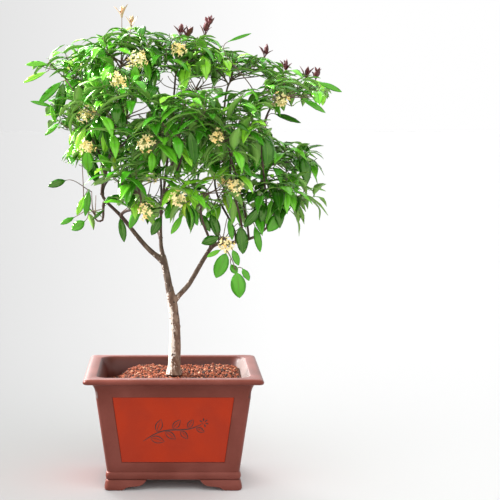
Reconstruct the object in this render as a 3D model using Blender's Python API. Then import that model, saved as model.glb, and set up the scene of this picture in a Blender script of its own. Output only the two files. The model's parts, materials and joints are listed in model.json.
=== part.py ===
# Potted sweet osmanthus: a small standard tree in a footed stoneware pot.
# Units are metres, +Z is up, and the origin is on the ground under the middle of the pot.
# +X is to the right and -Y is to the front, as the tree is usually shown.

import math
import random

import bmesh
import bpy
import numpy as np
from mathutils import Matrix, Vector

GAP = 0.0003  # clearance between neighbouring pieces

# Pot
RIM_LENGTH = 0.330
RIM_DEPTH = 0.280
POT_HEIGHT = 0.215
FOOT_HEIGHT = 0.020
LIP_THICKNESS = 0.0100
LIP_WIDTH = 0.024
FLARE_HEIGHT = 0.0285
FLARE_INSET = 0.0228
WALL_THICKNESS = 0.012
WALL_FOOT_INSET = 0.0413
PLINTH_HEIGHT = 0.015
PLINTH_STEP = 0.002
FLOOR_THICKNESS = 0.012
OUTER_CORNER = 0.008
INNER_CORNER = 0.018
CORNER_STEPS = 3
EDGE_ROUND = 0.0015

# Inlaid panels
PANEL_TOP = 0.1785
PANEL_BOTTOM = 0.0530
PANEL_MARGIN = 0.0304
POCKET_DEPTH = 0.003
PANEL_SUNK = 0.0008

# Feet
LEG_LONG = 0.076
LEG_SHORT = 0.058
LEG_THICKNESS = 0.014
FOOT_CURVE = (  # underside of a leg, as shares of its length and of the foot's height
    (0.38, 0), (0.44, 0.10), (0.52, 0.31), (0.62, 0.38), (0.80, 0.45), (0.90, 0.60), (0.96, 0.80), (1, 1),
)
FOOT_BULGE = 0.0025

# Soil
SOIL_EDGE = 0.190
SOIL_TOP = 0.2000
SOIL_FLAT = 0.022

# Trunk and limbs, as centre points and radii
TRUNK_POINTS = (
    (0.0015, 0, 0.2003), (0.0035, 0, 0.252), (0.0028, 0.001, 0.305), (-0.0025, 0, 0.345),
    (-0.0088, 0.001, 0.374), (-0.0142, 0.001, 0.4027), (-0.0200, 0, 0.4275),
)
TRUNK_RADII = (  # at shares of its length: it flares at the root and steps down past its first bough
    (0, 0.0155), (0.06, 0.0122), (0.20, 0.0106), (0.45, 0.0097), (0.61, 0.0088), (0.74, 0.0068), (1, 0.0062),
)
LEFT_POINTS = (
    (-0.0185, 0, 0.4205), (-0.0265, -0.001, 0.4270), (-0.046, -0.003, 0.444), (-0.065, -0.004, 0.464),
    (-0.0975, -0.008, 0.503), (-0.1300, -0.018, 0.538), (-0.132, -0.024, 0.565), (-0.122, -0.030, 0.600),
    (-0.108, -0.040, 0.680), (-0.100, -0.045, 0.765),
)
CENTRE_POINTS = (
    (-0.0182, 0, 0.4205), (-0.0215, 0.001, 0.438), (-0.0232, 0.002, 0.455), (-0.023, 0.006, 0.505),
    (-0.012, 0.008, 0.600), (-0.002, 0.004, 0.690), (0.004, 0.000, 0.762),
)
RIGHT_POINTS = (
    (-0.001, 0, 0.338), (0.0135, -0.001, 0.3575), (0.0290, -0.002, 0.377), (0.0577, -0.006, 0.4215),
    (0.078, -0.008, 0.449), (0.109, -0.008, 0.453), (0.152, -0.006, 0.4635), (0.185, -0.006, 0.488),
)
TIP_RADIUS = 0.0019
BRANCH_RADIUS = 0.0034
SIDES = {"trunk": 12, "main_bough_left": 8, "main_bough_right": 8}
THIN_SIDES = 5
RING_STEP = 0.026
MAIN_LIMBS = {
    "main_bough_left": (LEFT_POINTS, 0.0054, TIP_RADIUS),
    "main_bough_centre": (CENTRE_POINTS, 0.0042, TIP_RADIUS),
    "main_bough_right": (RIGHT_POINTS, 0.0050, TIP_RADIUS),
}

# Masses of foliage: the limb that carries each one, where on that limb its bough starts
# (None where the limb's own tip carries it), its centre, its half sizes and its shoots.
LEFT, CENTRE, RIGHT = "main_bough_left", "main_bough_centre", "main_bough_right"
MASSES = {
    "top_left": (LEFT, 0.66, (-0.200, 0.088, 0.762), (0.092, 0.106, 0.060), 5),
    "top_middle_left": (LEFT, None, (-0.090, -0.020, 0.815), (0.095, 0.100, 0.080), 6),
    "top_middle": (CENTRE, None, (0.015, -0.015, 0.800), (0.095, 0.100, 0.078), 5),
    "top_middle_right": (RIGHT, 0.80, (0.120, 0.010, 0.780), (0.095, 0.100, 0.075), 5),
    "top_right": (RIGHT, 0.92, (0.212, -0.115, 0.738), (0.100, 0.105, 0.052), 5),
    "top_back_left": (LEFT, 0.74, (-0.095, 0.154, 0.765), (0.110, 0.100, 0.075), 5),
    "top_back_right": (CENTRE, 0.60, (0.050, 0.148, 0.765), (0.110, 0.100, 0.075), 5),
    "left": (LEFT, 0.54, (-0.172, -0.055, 0.678), (0.082, 0.095, 0.070), 5),
    "front_left": (LEFT, 0.62, (-0.095, -0.150, 0.710), (0.100, 0.100, 0.080), 5),
    "front": (CENTRE, 0.45, (0.012, -0.174, 0.690), (0.100, 0.100, 0.085), 5),
    "front_right": (RIGHT, 0.74, (0.125, -0.145, 0.670), (0.100, 0.100, 0.085), 5),
    "right": (RIGHT, 0.96, (0.205, 0.060, 0.620), (0.095, 0.105, 0.080), 5),
    "back_left": (LEFT, 0.44, (-0.150, 0.125, 0.640), (0.090, 0.105, 0.080), 5),
    "back": (CENTRE, 0.26, (-0.030, 0.161, 0.630), (0.105, 0.100, 0.085), 5),
    "back_right": (RIGHT, 0.70, (0.100, 0.170, 0.620), (0.105, 0.088, 0.085), 5),
    "middle": (CENTRE, 0.36, (0.020, 0.000, 0.665), (0.105, 0.100, 0.085), 5),
    "low_left": (LEFT, 0.40, (-0.165, -0.005, 0.528), (0.072, 0.085, 0.062), 4),
    "low_front_left": (LEFT, 0.30, (-0.070, -0.115, 0.580), (0.090, 0.095, 0.075), 5),
    "low_front_right": (RIGHT, 0.50, (0.060, -0.130, 0.570), (0.095, 0.095, 0.075), 5),
    "low_back": (CENTRE, 0.12, (-0.055, 0.100, 0.540), (0.095, 0.095, 0.075), 5),
    "low_back_right": (RIGHT, 0.58, (0.085, 0.060, 0.535), (0.090, 0.090, 0.070), 4),
    "low_right": (RIGHT, None, (0.196, -0.030, 0.552), (0.090, 0.095, 0.075), 5),
    "hanging": (RIGHT, 0.64, (0.108, -0.058, 0.426), (0.042, 0.048, 0.068), 3),
}
HANGING = "hanging"
MASS_REACH = 1.30  # how far leaves may reach, as a share of the half sizes
TALL = 1.25  # the spaces of the masses are worked out in a world stretched this much upwards
CELL_CLEAR = 0.0007

# What shows from the front, given as x and z against the plane of the trunk, with y as the depth
VIEW_DISTANCE = 2.84
VIEW_HEIGHT = 0.718
BLOOMS = (
    (-0.101, 0.762, -0.175), (-0.049, 0.644, -0.190), (0.011, 0.539, -0.175), (0.084, 0.655, -0.190),
    (0.118, 0.565, -0.150), (0.203, 0.726, -0.110), (0.099, 0.455, -0.085), (0.011, 0.816, -0.060),
    (-0.159, 0.698, -0.120), (-0.062, 0.799, -0.105), (-0.049, 0.511, -0.140), (-0.159, 0.636, -0.130),
)
YOUNG_SHOOTS = (
    (-0.083, 0.866, 0.000), (0.016, 0.836, 0.000), (0.066, 0.844, 0.000), (0.173, 0.807, 0.000),
    (0.211, 0.772, -0.030), (0.258, 0.767, -0.040),
)
BACK_BLOOMS_FROM = 0.05  # masses behind this depth have blossom on their first shoot
SKY_GAPS = (
    (-0.107, 0.500, 0.022, 0.036), (-0.004, 0.752, 0.018, 0.012), (0.128, 0.754, 0.036, 0.007),
    (-0.196, 0.645, 0.014, 0.018), (-0.102, 0.692, 0.020, 0.007), (-0.010, 0.428, 0.056, 0.036),
    (0.250, 0.666, 0.055, 0.014),
)

# Leaves and shoots
LEAF_LENGTH = (0.058, 0.073)
LEAF_SLIMNESS = 0.42
LEAF_WAIST = 0.45
LEAF_SUNK = 0.0003
LEAF_KEEL = 0.0008
LEAF_FOLD = 0.22
LEAF_BEND = (16, 40)
LEAF_LEAN = (50, 72, 90)
LEAF_LEVEL = 0.55  # leaves turn towards the level by this
LEAF_SAG = 0.06
SAG_BELOW = 0.62  # below this height they hang more
SAG_GROWTH = 1.4
LEAF_NUDGE = 0.6
LEAF_TRIES = 4
LEAF_SHRINK = 0.91
LEAF_CLEAR = 0.0035
LIMB_CLEAR = 0.0022
PAIRS = 3
FIRST_PAIR = 0.004
YOUNG_FIRST_PAIR = 0.017
PAIR_STEP = 0.012
BOUGH_INWARD = 0.16
BOUGH_BELOW = 0.55
STEM_RADIUS = 0.0018
STEM_FOOT = 0.004  # the stem runs on in line with its bough for this far
SHOOT_REACH = 0.56
TWIG_RADIUS = 0.0014
TWIG_TIP = 0.0010
TWIG_STEP = 0.036
BLOOM_RADIUS = 0.019
YOUNG_LENGTH = 0.024
YOUNG_SLIMNESS = 0.42
SEED = 1207
GOLDEN_TURN = math.radians(137.5)
SLANT = Vector((0.31, 0.17, 0.93))


def clear_scene():
    for item in list(bpy.data.objects):
        bpy.data.objects.remove(item, do_unlink=True)


def material(name, colour, roughness):
    made = bpy.data.materials.new(name)
    made.use_nodes = True
    shader = made.node_tree.nodes["Principled BSDF"]
    shader.inputs["Base Color"].default_value = (*colour, 1)
    shader.inputs["Roughness"].default_value = roughness
    shader.inputs["Metallic"].default_value = 0
    return made


def mesh_object(name, points, faces, finish=None):
    mesh = bpy.data.meshes.new(name)
    mesh.from_pydata([tuple(p) for p in points], [], faces)
    mesh.update()
    made = bpy.data.objects.new(name, mesh)
    bpy.context.scene.collection.objects.link(made)
    if finish:
        mesh.materials.append(finish)
    return made


def settle(item):
    """Applies the modifiers of an object."""
    bpy.context.view_layer.update()
    graph = bpy.context.evaluated_depsgraph_get()
    mesh = bpy.data.meshes.new_from_object(item.evaluated_get(graph))
    item.modifiers.clear()
    item.data = mesh


def cut(item, cutters):
    """Takes the cutters out of an object and removes them."""
    for cutter in cutters:
        change = item.modifiers.new("cut", "BOOLEAN")
        change.operation = "DIFFERENCE"
        change.solver = "EXACT"
        change.object = cutter
    settle(item)
    for cutter in cutters:
        bpy.data.objects.remove(cutter, do_unlink=True)


def shade(item):
    item.data.shade_smooth()
    item.data.set_sharp_from_angle(angle=math.radians(35))


def ring(half_x, half_y, corner, z):
    """A rounded rectangle round the Z axis at one height."""
    points = []
    for quarter in range(4):
        middle = (math.copysign(half_x - corner, (1, -1, -1, 1)[quarter]),
                  math.copysign(half_y - corner, (1, 1, -1, -1)[quarter]))
        for step in range(CORNER_STEPS + 1):
            turn = math.pi / 2 * (quarter + step / CORNER_STEPS)
            points.append((middle[0] + corner * math.cos(turn), middle[1] + corner * math.sin(turn), z))
    return points


def loft(name, rings, finish=None):
    """A closed skin through rings with the same number of points, the first one lowest on the outside."""
    count = len(rings[0])
    points = [p for r in rings for p in r]
    faces = [tuple(reversed(range(count)))]
    for level in range(len(rings) - 1):
        low, high = level * count, (level + 1) * count
        faces += [(low + i, low + (i + 1) % count, high + (i + 1) % count, high + i) for i in range(count)]
    faces.append(tuple(range((len(rings) - 1) * count, len(rings) * count)))
    return mesh_object(name, points, faces, finish)


def inset_ring(inset, corner, z):
    return ring(RIM_LENGTH / 2 - inset, RIM_DEPTH / 2 - inset, corner, z)


def outer_profile():
    """(inset from the rim, height) of the pot's outside, from the underside to the lip."""
    base = FOOT_HEIGHT
    plinth = base + PLINTH_HEIGHT
    flare_foot = POT_HEIGHT - LIP_THICKNESS - EDGE_ROUND - FLARE_HEIGHT + 0.001
    profile = [
        (WALL_FOOT_INSET - PLINTH_STEP + EDGE_ROUND, base),
        (WALL_FOOT_INSET - PLINTH_STEP, base + EDGE_ROUND),
        (WALL_FOOT_INSET - PLINTH_STEP, plinth - EDGE_ROUND),
        (WALL_FOOT_INSET, plinth),
    ]
    lip_inset = 0.008
    for step in range(5):
        turn = math.pi / 2 * (1 - step / 4)
        profile.append((lip_inset + (FLARE_INSET - lip_inset) * math.sin(turn),
                        flare_foot + FLARE_HEIGHT * math.cos(turn)))
    lip_foot = POT_HEIGHT - LIP_THICKNESS
    profile += [
        (EDGE_ROUND * 1.5, lip_foot),
        (0, lip_foot + EDGE_ROUND),
        (0, POT_HEIGHT - EDGE_ROUND),
        (EDGE_ROUND, POT_HEIGHT),
    ]
    return profile


def inner_inset(height):
    """How far in from the rim the pot's inner wall is at a height."""
    straight_top = POT_HEIGHT - LIP_THICKNESS - FLARE_HEIGHT
    wall_inset = FLARE_INSET + WALL_THICKNESS
    if height < straight_top:
        share = (straight_top - height) / (straight_top - FOOT_HEIGHT - FLOOR_THICKNESS)
        return wall_inset + share * (WALL_FOOT_INSET + WALL_THICKNESS - wall_inset)
    share = (height - straight_top) / (POT_HEIGHT - straight_top)
    return wall_inset - (wall_inset - LIP_WIDTH) * share ** 2


def inner_corner(height):
    return INNER_CORNER * (0.6 + 0.4 * height / POT_HEIGHT)


def build_pot(clay):
    rings = [inset_ring(inset, OUTER_CORNER, z) for inset, z in outer_profile()]
    floor = FOOT_HEIGHT + FLOOR_THICKNESS
    rings.append(inset_ring(LIP_WIDTH - EDGE_ROUND, inner_corner(POT_HEIGHT), POT_HEIGHT))
    for height in (POT_HEIGHT - EDGE_ROUND, 0.202, 0.191, 0.179, floor):
        rings.append(inset_ring(inner_inset(height), inner_corner(height), height))
    pot = loft("pot_body", rings, clay)
    cut(pot, [panel_block("pocket", side, 0, -POCKET_DEPTH, POCKET_DEPTH) for side in range(4)])
    shade(pot)
    return pot


def wall_half(side, height):
    """Half the width of one face of the pot at a height, and how far that face is from the middle."""
    wall_foot, wall_top = FOOT_HEIGHT + PLINTH_HEIGHT, POT_HEIGHT - LIP_THICKNESS - FLARE_HEIGHT
    share = (height - wall_foot) / (wall_top - wall_foot)
    inset = WALL_FOOT_INSET + share * (FLARE_INSET - WALL_FOOT_INSET)
    long_half, short_half = RIM_LENGTH / 2 - inset, RIM_DEPTH / 2 - inset
    return (long_half, short_half) if side % 2 == 0 else (short_half, long_half)


def panel_block(name, side, shrink, back, front, finish=None):
    """A slab on one sloping face of the pot. Side 0 is the front, then right, back and left."""
    points = []
    low, high = PANEL_BOTTOM + shrink, PANEL_TOP - shrink
    slope = math.atan2(FLARE_INSET - WALL_FOOT_INSET, PANEL_TOP - PANEL_BOTTOM)
    outward = Vector((0, -math.cos(slope), math.sin(slope)))
    for depth in (back, front):
        for height, sign in ((low, -1), (low, 1), (high, 1), (high, -1)):
            half, away = wall_half(side, height)
            at = Vector((sign * (half - PANEL_MARGIN - shrink), -away, height)) + outward * depth
            points.append(at)
    turn = Matrix.Rotation(side * math.pi / 2, 3, "Z")
    spun = [turn @ p for p in points]
    faces = [(0, 3, 2, 1), (4, 5, 6, 7), (0, 1, 5, 4), (1, 2, 6, 5), (2, 3, 7, 6), (3, 0, 4, 7)]
    return mesh_object(name, spun, faces, finish)


def build_panels(red_clay):
    for side, name in enumerate(("panel_front", "panel_right", "panel_back", "panel_left")):
        panel = panel_block(name, side, GAP, -POCKET_DEPTH + GAP, -PANEL_SUNK, red_clay)
        soften = panel.modifiers.new("edge", "BEVEL")
        soften.width = 0.0006
        soften.segments = 1
        settle(panel)


def foot_outline(leg):
    """The arched underside of one leg of a foot, as (distance from the pot's corner, height)."""
    return [(leg * run, (FOOT_HEIGHT - GAP) * rise) for run, rise in FOOT_CURVE]


def arch_cutter(name, corner, sign, leg, along_x):
    """A block that takes the arch out of one leg. It runs across the leg."""
    outline = foot_outline(leg)
    outline = [(outline[0][0], -0.002)] + outline
    outline += [(leg + 0.002, outline[-1][1]), (leg + 0.002, -0.002)]
    half = LEG_THICKNESS * 1.6
    points = []
    for across in (-half, half):
        for distance, z in outline:
            run = -sign * distance
            points.append((corner[0] + run, corner[1] + across, z) if along_x
                          else (corner[0] + across, corner[1] + run, z))
    count = len(outline)
    faces = [tuple(range(count)), tuple(reversed(range(count, 2 * count)))]
    faces += [(i, i + count, (i + 1) % count + count, (i + 1) % count) for i in range(count)]
    cutter = mesh_object(name, points, faces)
    tidy_normals(cutter)
    return cutter


def tidy_normals(item):
    mesh = bmesh.new()
    mesh.from_mesh(item.data)
    bmesh.ops.recalc_face_normals(mesh, faces=mesh.faces)
    mesh.to_mesh(item.data)
    mesh.free()


def build_foot(name, sign_x, sign_y, clay):
    """An L-shaped bracket foot under one corner of the pot."""
    half_x = RIM_LENGTH / 2 - WALL_FOOT_INSET + PLINTH_STEP
    half_y = RIM_DEPTH / 2 - WALL_FOOT_INSET + PLINTH_STEP
    rings = []
    for z, out in ((0, 0), (0.004, FOOT_BULGE), (0.010, FOOT_BULGE * 0.6), (FOOT_HEIGHT - GAP, -0.001)):
        outer = []
        for step in range(4):
            turn = math.pi / 2 * step / 3
            outer.append((half_x - OUTER_CORNER + (OUTER_CORNER + out) * math.cos(turn),
                          half_y - OUTER_CORNER + (OUTER_CORNER + out) * math.sin(turn)))
        inner_x, inner_y = half_x - LEG_THICKNESS, half_y - LEG_THICKNESS
        plan = [(half_x + out, half_y - LEG_SHORT)] + outer
        plan += [(half_x - LEG_LONG, half_y + out), (half_x - LEG_LONG, inner_y), (inner_x, inner_y),
                 (inner_x, half_y - LEG_SHORT)]
        rings.append([(sign_x * x, sign_y * y, z) for x, y in plan])
    foot = loft(name, rings, clay)
    tidy_normals(foot)
    corner = (sign_x * half_x, sign_y * half_y)
    cutters = [
        arch_cutter("long_arch", corner, sign_x, LEG_LONG, True),
        arch_cutter("short_arch", corner, sign_y, LEG_SHORT, False),
    ]
    cut(foot, cutters)
    shade(foot)


def build_soil(grit):
    """The soil fills the pot and rises in a low mound to the flat spot that the trunk stands on."""
    floor = FOOT_HEIGHT + FLOOR_THICKNESS + GAP
    rings = [inset_ring(inner_inset(z) + GAP * 1.5, inner_corner(z), z)
             for z in (floor, 0.179, SOIL_EDGE)]
    edge = rings[-1]
    draw = random.Random(SEED)
    for share, rise in ((0.82, 0.45), (0.60, 0.75), (0.36, 0.95)):
        height = SOIL_EDGE + (SOIL_TOP - SOIL_EDGE) * rise
        rings.append([(x * share, y * share, height + draw.uniform(-0.0022, 0.0016)) for x, y, _ in edge])
    flat = len(edge)
    rings.append([(TRUNK_POINTS[0][0] + SOIL_FLAT * math.cos(2 * math.pi * (i + 0.5) / flat),
                   SOIL_FLAT * math.sin(2 * math.pi * (i + 0.5) / flat), SOIL_TOP) for i in range(flat)])
    shade(loft("soil", rings, grit))


# The lines below are the rule that the tree grows by

def spline(points, step):
    """A smooth line through the points, cut into equal steps."""
    knots = [Vector(p) for p in points]
    knots = [knots[0] * 2 - knots[1]] + knots + [knots[-1] * 2 - knots[-2]]
    fine = []
    for a, b, c, d in zip(knots, knots[1:], knots[2:], knots[3:]):
        for k in range(24):
            t = k / 24
            fine.append(0.5 * (2 * b + (c - a) * t + (2 * a - 5 * b + 4 * c - d) * t * t
                               + (3 * b - a - 3 * c + d) * t ** 3))
    fine.append(knots[-2])
    return even(fine, step)


def even(line, step):
    """The same line with its points an even distance apart."""
    lengths = [0.0]
    for a, b in zip(line, line[1:]):
        lengths.append(lengths[-1] + (b - a).length)
    count = max(2, round(lengths[-1] / step) + 1)
    made, seat = [], 0
    for k in range(count):
        want = lengths[-1] * k / (count - 1)
        while seat < len(line) - 2 and lengths[seat + 1] < want:
            seat += 1
        span = lengths[seat + 1] - lengths[seat]
        made.append(line[seat].lerp(line[seat + 1], (want - lengths[seat]) / span if span else 0))
    return made


def bend(start, leaves, end, arrives, step):
    """A smooth line from start, along leaves at first, to end, along arrives at last."""
    reach = (end - start).length
    a, b = leaves.normalized() * reach, arrives.normalized() * reach
    fine = []
    for k in range(25):
        t = k / 24
        fine.append(start * (2 * t ** 3 - 3 * t * t + 1) + a * (t ** 3 - 2 * t * t + t)
                    + end * (3 * t * t - 2 * t ** 3) + b * (t ** 3 - t * t))
    return even(fine, step)


def along(line, share):
    """The point and direction at a share of a line."""
    seat = min(int(share * (len(line) - 1)), len(line) - 2)
    rest = share * (len(line) - 1) - seat
    return line[seat].lerp(line[seat + 1], rest), (line[seat + 1] - line[seat]).normalized()


def taper(count, base, tip, power=0.8):
    return [base + (tip - base) * (k / (count - 1)) ** power for k in range(count)]


class Limb:
    def __init__(self, name, line, radii):
        self.name, self.line, self.radii = name, line, radii
        self.points = np.array([tuple(p) for p in even(line, 0.003)])
        reach = np.linspace(0, 1, len(self.points))
        self.thick = np.interp(reach, np.linspace(0, 1, len(radii)), radii)


class Mass:
    def __init__(self, name, number):
        self.name, self.number = name, number
        self.carrier, self.share, centre, half, self.shoots = MASSES[name]
        self.centre, self.half = Vector(centre), Vector(half)
        self.up = -1 if name == HANGING else 1


class Shoot:
    """A twig with what it carries at its end: leaves alone, or leaves round blossom or young leaves."""
    def __init__(self, line, kind, seed):
        self.line, self.kind, self.seed = line, kind, seed
        self.first_pair = YOUNG_FIRST_PAIR if kind == "young" else FIRST_PAIR
        self.length = sum((b - a).length for a, b in zip(line, line[1:]))


def trunk_limb():
    line = spline(TRUNK_POINTS, RING_STEP)
    shares = [share for share, _ in TRUNK_RADII]
    radii = np.interp(np.linspace(0, 1, len(line)), shares, [radius for _, radius in TRUNK_RADII])
    return Limb("trunk", line, [float(r) for r in radii])


def main_limbs():
    limbs = {"trunk": trunk_limb()}
    for name, (points, base, tip) in MAIN_LIMBS.items():
        line = spline(points, RING_STEP)
        limbs[name] = Limb(name, line, taper(len(line), base, tip))
    return limbs


def grow_bough(mass, limbs):
    """The bough from its limb to the mass. It leaves outwards and turns up, or down where the mass hangs."""
    limb = limbs[mass.carrier]
    start, heading = along(limb.line, mass.share)
    inward = Vector((-mass.centre.x, -mass.centre.y, 0)) * BOUGH_INWARD
    end = mass.centre + inward - Vector((0, 0, BOUGH_BELOW * mass.up * mass.half.z))
    out = end - start
    flat = Vector((out.x, out.y, out.z * 0.35)).normalized()
    leaves = flat + heading * 0.35 + Vector((0, 0, 0.25))
    arrives = (mass.centre - end).normalized() + out.normalized() * 0.6
    line = bend(start, leaves, end, arrives, RING_STEP)
    thick = limb.radii[0] + (limb.radii[-1] - limb.radii[0]) * mass.share
    base = min(BRANCH_RADIUS, thick * 0.85)
    return Limb("bough_" + mass.name, line, taper(len(line), base, TIP_RADIUS))


def front_view(points):
    """Where points are seen from the front against the plane of the trunk, as rows of x and z."""
    spots = np.asarray(points)
    scale = VIEW_DISTANCE / (VIEW_DISTANCE + spots[:, 1])
    return np.stack([spots[:, 0] * scale, VIEW_HEIGHT + (spots[:, 2] - VIEW_HEIGHT) * scale], 1)


def from_front(x, z, y):
    """The place at depth y that is seen at x and z against the plane of the trunk."""
    scale = (VIEW_DISTANCE + y) / VIEW_DISTANCE
    return Vector((x * scale, y, VIEW_HEIGHT + (z - VIEW_HEIGHT) * scale))


def in_gap(points):
    seen = front_view(points)
    return any((np.abs(seen - (x, z)) < (half_x, half_z)).all(1).any() for x, z, half_x, half_z in SKY_GAPS)


def nearness(points, mass):
    """Least in the mass that a point belongs to. The spaces between masses are planes."""
    apart = (np.asarray(points) - np.array(mass.centre)) * (1, 1, TALL)
    return (apart ** 2).sum(1) - mass.half.x ** 2


def in_space(points, mass, masses, clear):
    """True if the points keep to the mass's own space, by a clearance, and to its reach."""
    spots = np.array([tuple(p) for p in points])
    if (((spots - np.array(mass.centre)) / (np.array(mass.half) * MASS_REACH)) ** 2).sum(1).max() > 1:
        return False
    here = nearness(spots, mass)
    for other in masses:
        apart = (other.centre - mass.centre) * 1.0
        apart.z *= TALL
        if other is not mass and (nearness(spots, other) - here).min() < 2 * apart.length * clear:
            return False
    return True


def off_limbs(points, limbs, clear):
    spots = np.array([tuple(p) for p in points]).reshape(-1, 3)
    for limb in limbs:
        low, high = limb.points.min(0) - 0.02, limb.points.max(0) + 0.02
        near = spots[((spots > low) & (spots < high)).all(1)]
        if len(near):
            apart = np.linalg.norm(near[:, None] - limb.points[None], axis=2) - limb.thick[None]
            if apart.min() < clear:
                return False
    return True


def around(axis, turn):
    """A direction square to the axis, at a turn round it."""
    flat = axis.cross(SLANT).normalized()
    return flat * math.cos(turn) + axis.cross(flat) * math.sin(turn)


def grow_stem(mass, limbs):
    """The stem that starts just clear of its bough's tip, and runs into the middle of the mass."""
    bough = limbs[mass.carrier] if mass.share is None else limbs["bough_" + mass.name]
    tip, heading = along(bough.line, 1)
    start = tip + heading * GAP
    hub = mass.centre * 0.5 + start * 0.5 + Vector((0, 0, 0.06 * mass.up * mass.half.z))
    line = bend(start + heading * STEM_FOOT, heading, hub, heading + Vector((0, 0, 0.5 * mass.up)), TWIG_STEP)
    return [start] + line, bough


def drawn_in(end, mass, masses):
    """The place nearest to this one, towards the mass's middle, where a cluster of blossom has room."""
    for _ in range(12):
        corners = [end + Vector((a, b, c)) * BLOOM_RADIUS for a in (1, -1) for b in (1, -1) for c in (1, -1)]
        if in_space(corners, mass, masses, CELL_CLEAR):
            break
        end = end.lerp(mass.centre, 0.08)
    return end


def shoot_ends(mass, masses):
    """The ends of a mass's shoots: first those that show from the front, then seeded ones all round."""
    ends = []
    for kind, places in (("bloom", BLOOMS), ("young", YOUNG_SHOOTS)):
        for place in places:
            end = from_front(*place)
            if min(masses, key=lambda m: nearness([tuple(end)], m)[0]) is mass:
                ends.append((drawn_in(end, mass, masses), kind))
    for k in range(len(ends), mass.shoots):
        draw = random.Random(SEED * 1000 + mass.number * 40 + k)
        turn = k * GOLDEN_TURN + draw.uniform(-0.3, 0.3)
        reach = SHOOT_REACH * math.sqrt((k + 0.35) / mass.shoots) + draw.uniform(-0.04, 0.04)
        lift = mass.up * (0.50 - 0.65 * reach + draw.uniform(-0.08, 0.08))
        kind = "bloom" if k == 0 and mass.centre.y > BACK_BLOOMS_FROM else "leaf"
        offset = Vector((reach * math.cos(turn), reach * math.sin(turn), lift))
        ends.append((mass.centre + Vector(a * b for a, b in zip(offset, mass.half)), kind))
    return ends


def grow_shoots(mass, masses, limbs):
    stem, bough = grow_stem(mass, limbs)
    others = [limb for limb in limbs.values() if limb is not bough]
    shoots = []
    for k, (end, kind) in enumerate(shoot_ends(mass, masses)):
        seat, heading = along(stem, 0.95 - 0.5 * k / mass.shoots)
        out = end - seat
        arrives = out.normalized() * 0.6 + Vector((0, 0, mass.up))
        line = bend(seat, out + heading * 0.02, end, arrives, TWIG_STEP)
        spots = even(line, 0.004)
        free = in_space(spots, mass, masses, CELL_CLEAR + TWIG_RADIUS)
        if free and off_limbs(spots[2:], others, LIMB_CLEAR + TWIG_RADIUS):
            shoots.append(Shoot(line, kind, SEED * 1000 + mass.number * 40 + k))
    return stem, shoots


class Leaf:
    """A leaf as its root, its waist, its tip, its width, and the directions of its side and its face."""
    def __init__(self, root, heading, face, length, slimness, bend_angle):
        self.root = root
        self.side = heading.cross(face).normalized()
        self.face = self.side.cross(heading).normalized()
        self.heading, self.length, self.width = heading, length, length * slimness
        self.waist = root + heading * (LEAF_WAIST * length)
        beyond = heading * math.cos(bend_angle) - self.face * math.sin(bend_angle)
        self.tip = self.waist + beyond * ((1 - LEAF_WAIST) * length)

    def edges(self):
        """The two ends of the leaf's waist."""
        lift = self.face * (LEAF_FOLD * self.width / 2)
        return [self.waist + self.side * (self.width / 2 * sign) + lift for sign in (1, -1)]

    def samples(self):
        spots = []
        for share in (0.25, 0.5, 0.75, 1.0):
            for middle, width in ((self.root.lerp(self.waist, share), self.width * share),
                                  (self.waist.lerp(self.tip, share), self.width * (1 - share))):
                spots += [middle + self.side * (width / 2 * k) for k in (-1, 0, 1)]
        return np.array([tuple(s) for s in spots])


def leaf_on(shoot, pair, half_turn, draw, trial):
    """The leaf at one side of a pair. Each pair is a quarter turn from the last one."""
    root, axis = along(shoot.line, 1 - (shoot.first_pair + PAIR_STEP * pair) / shoot.length)
    turn = random.Random(shoot.seed).uniform(0, math.pi) + math.pi * half_turn + math.pi / 2 * pair
    lean = math.radians(LEAF_LEAN[min(pair, 2)] + draw.uniform(-9, 9))
    length = draw.uniform(*LEAF_LENGTH) * (0.85 if pair == 0 else 1)
    droop = math.radians(draw.uniform(*LEAF_BEND))
    if trial:
        turn += draw.uniform(-LEAF_NUDGE, LEAF_NUDGE)
        length *= LEAF_SHRINK ** trial
    heading = axis * math.cos(lean) + around(axis, turn) * math.sin(lean)
    sag = LEAF_SAG + SAG_GROWTH * max(0.0, SAG_BELOW - root.z)
    heading = Vector((heading.x, heading.y, heading.z * LEAF_LEVEL - sag)).normalized()
    face = Vector((0, 0, 1)) - heading * heading.z
    if face.length < 0.3:
        face = axis - heading * axis.dot(heading)
    return Leaf(root, heading, face, length, LEAF_SLIMNESS, droop)


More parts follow.
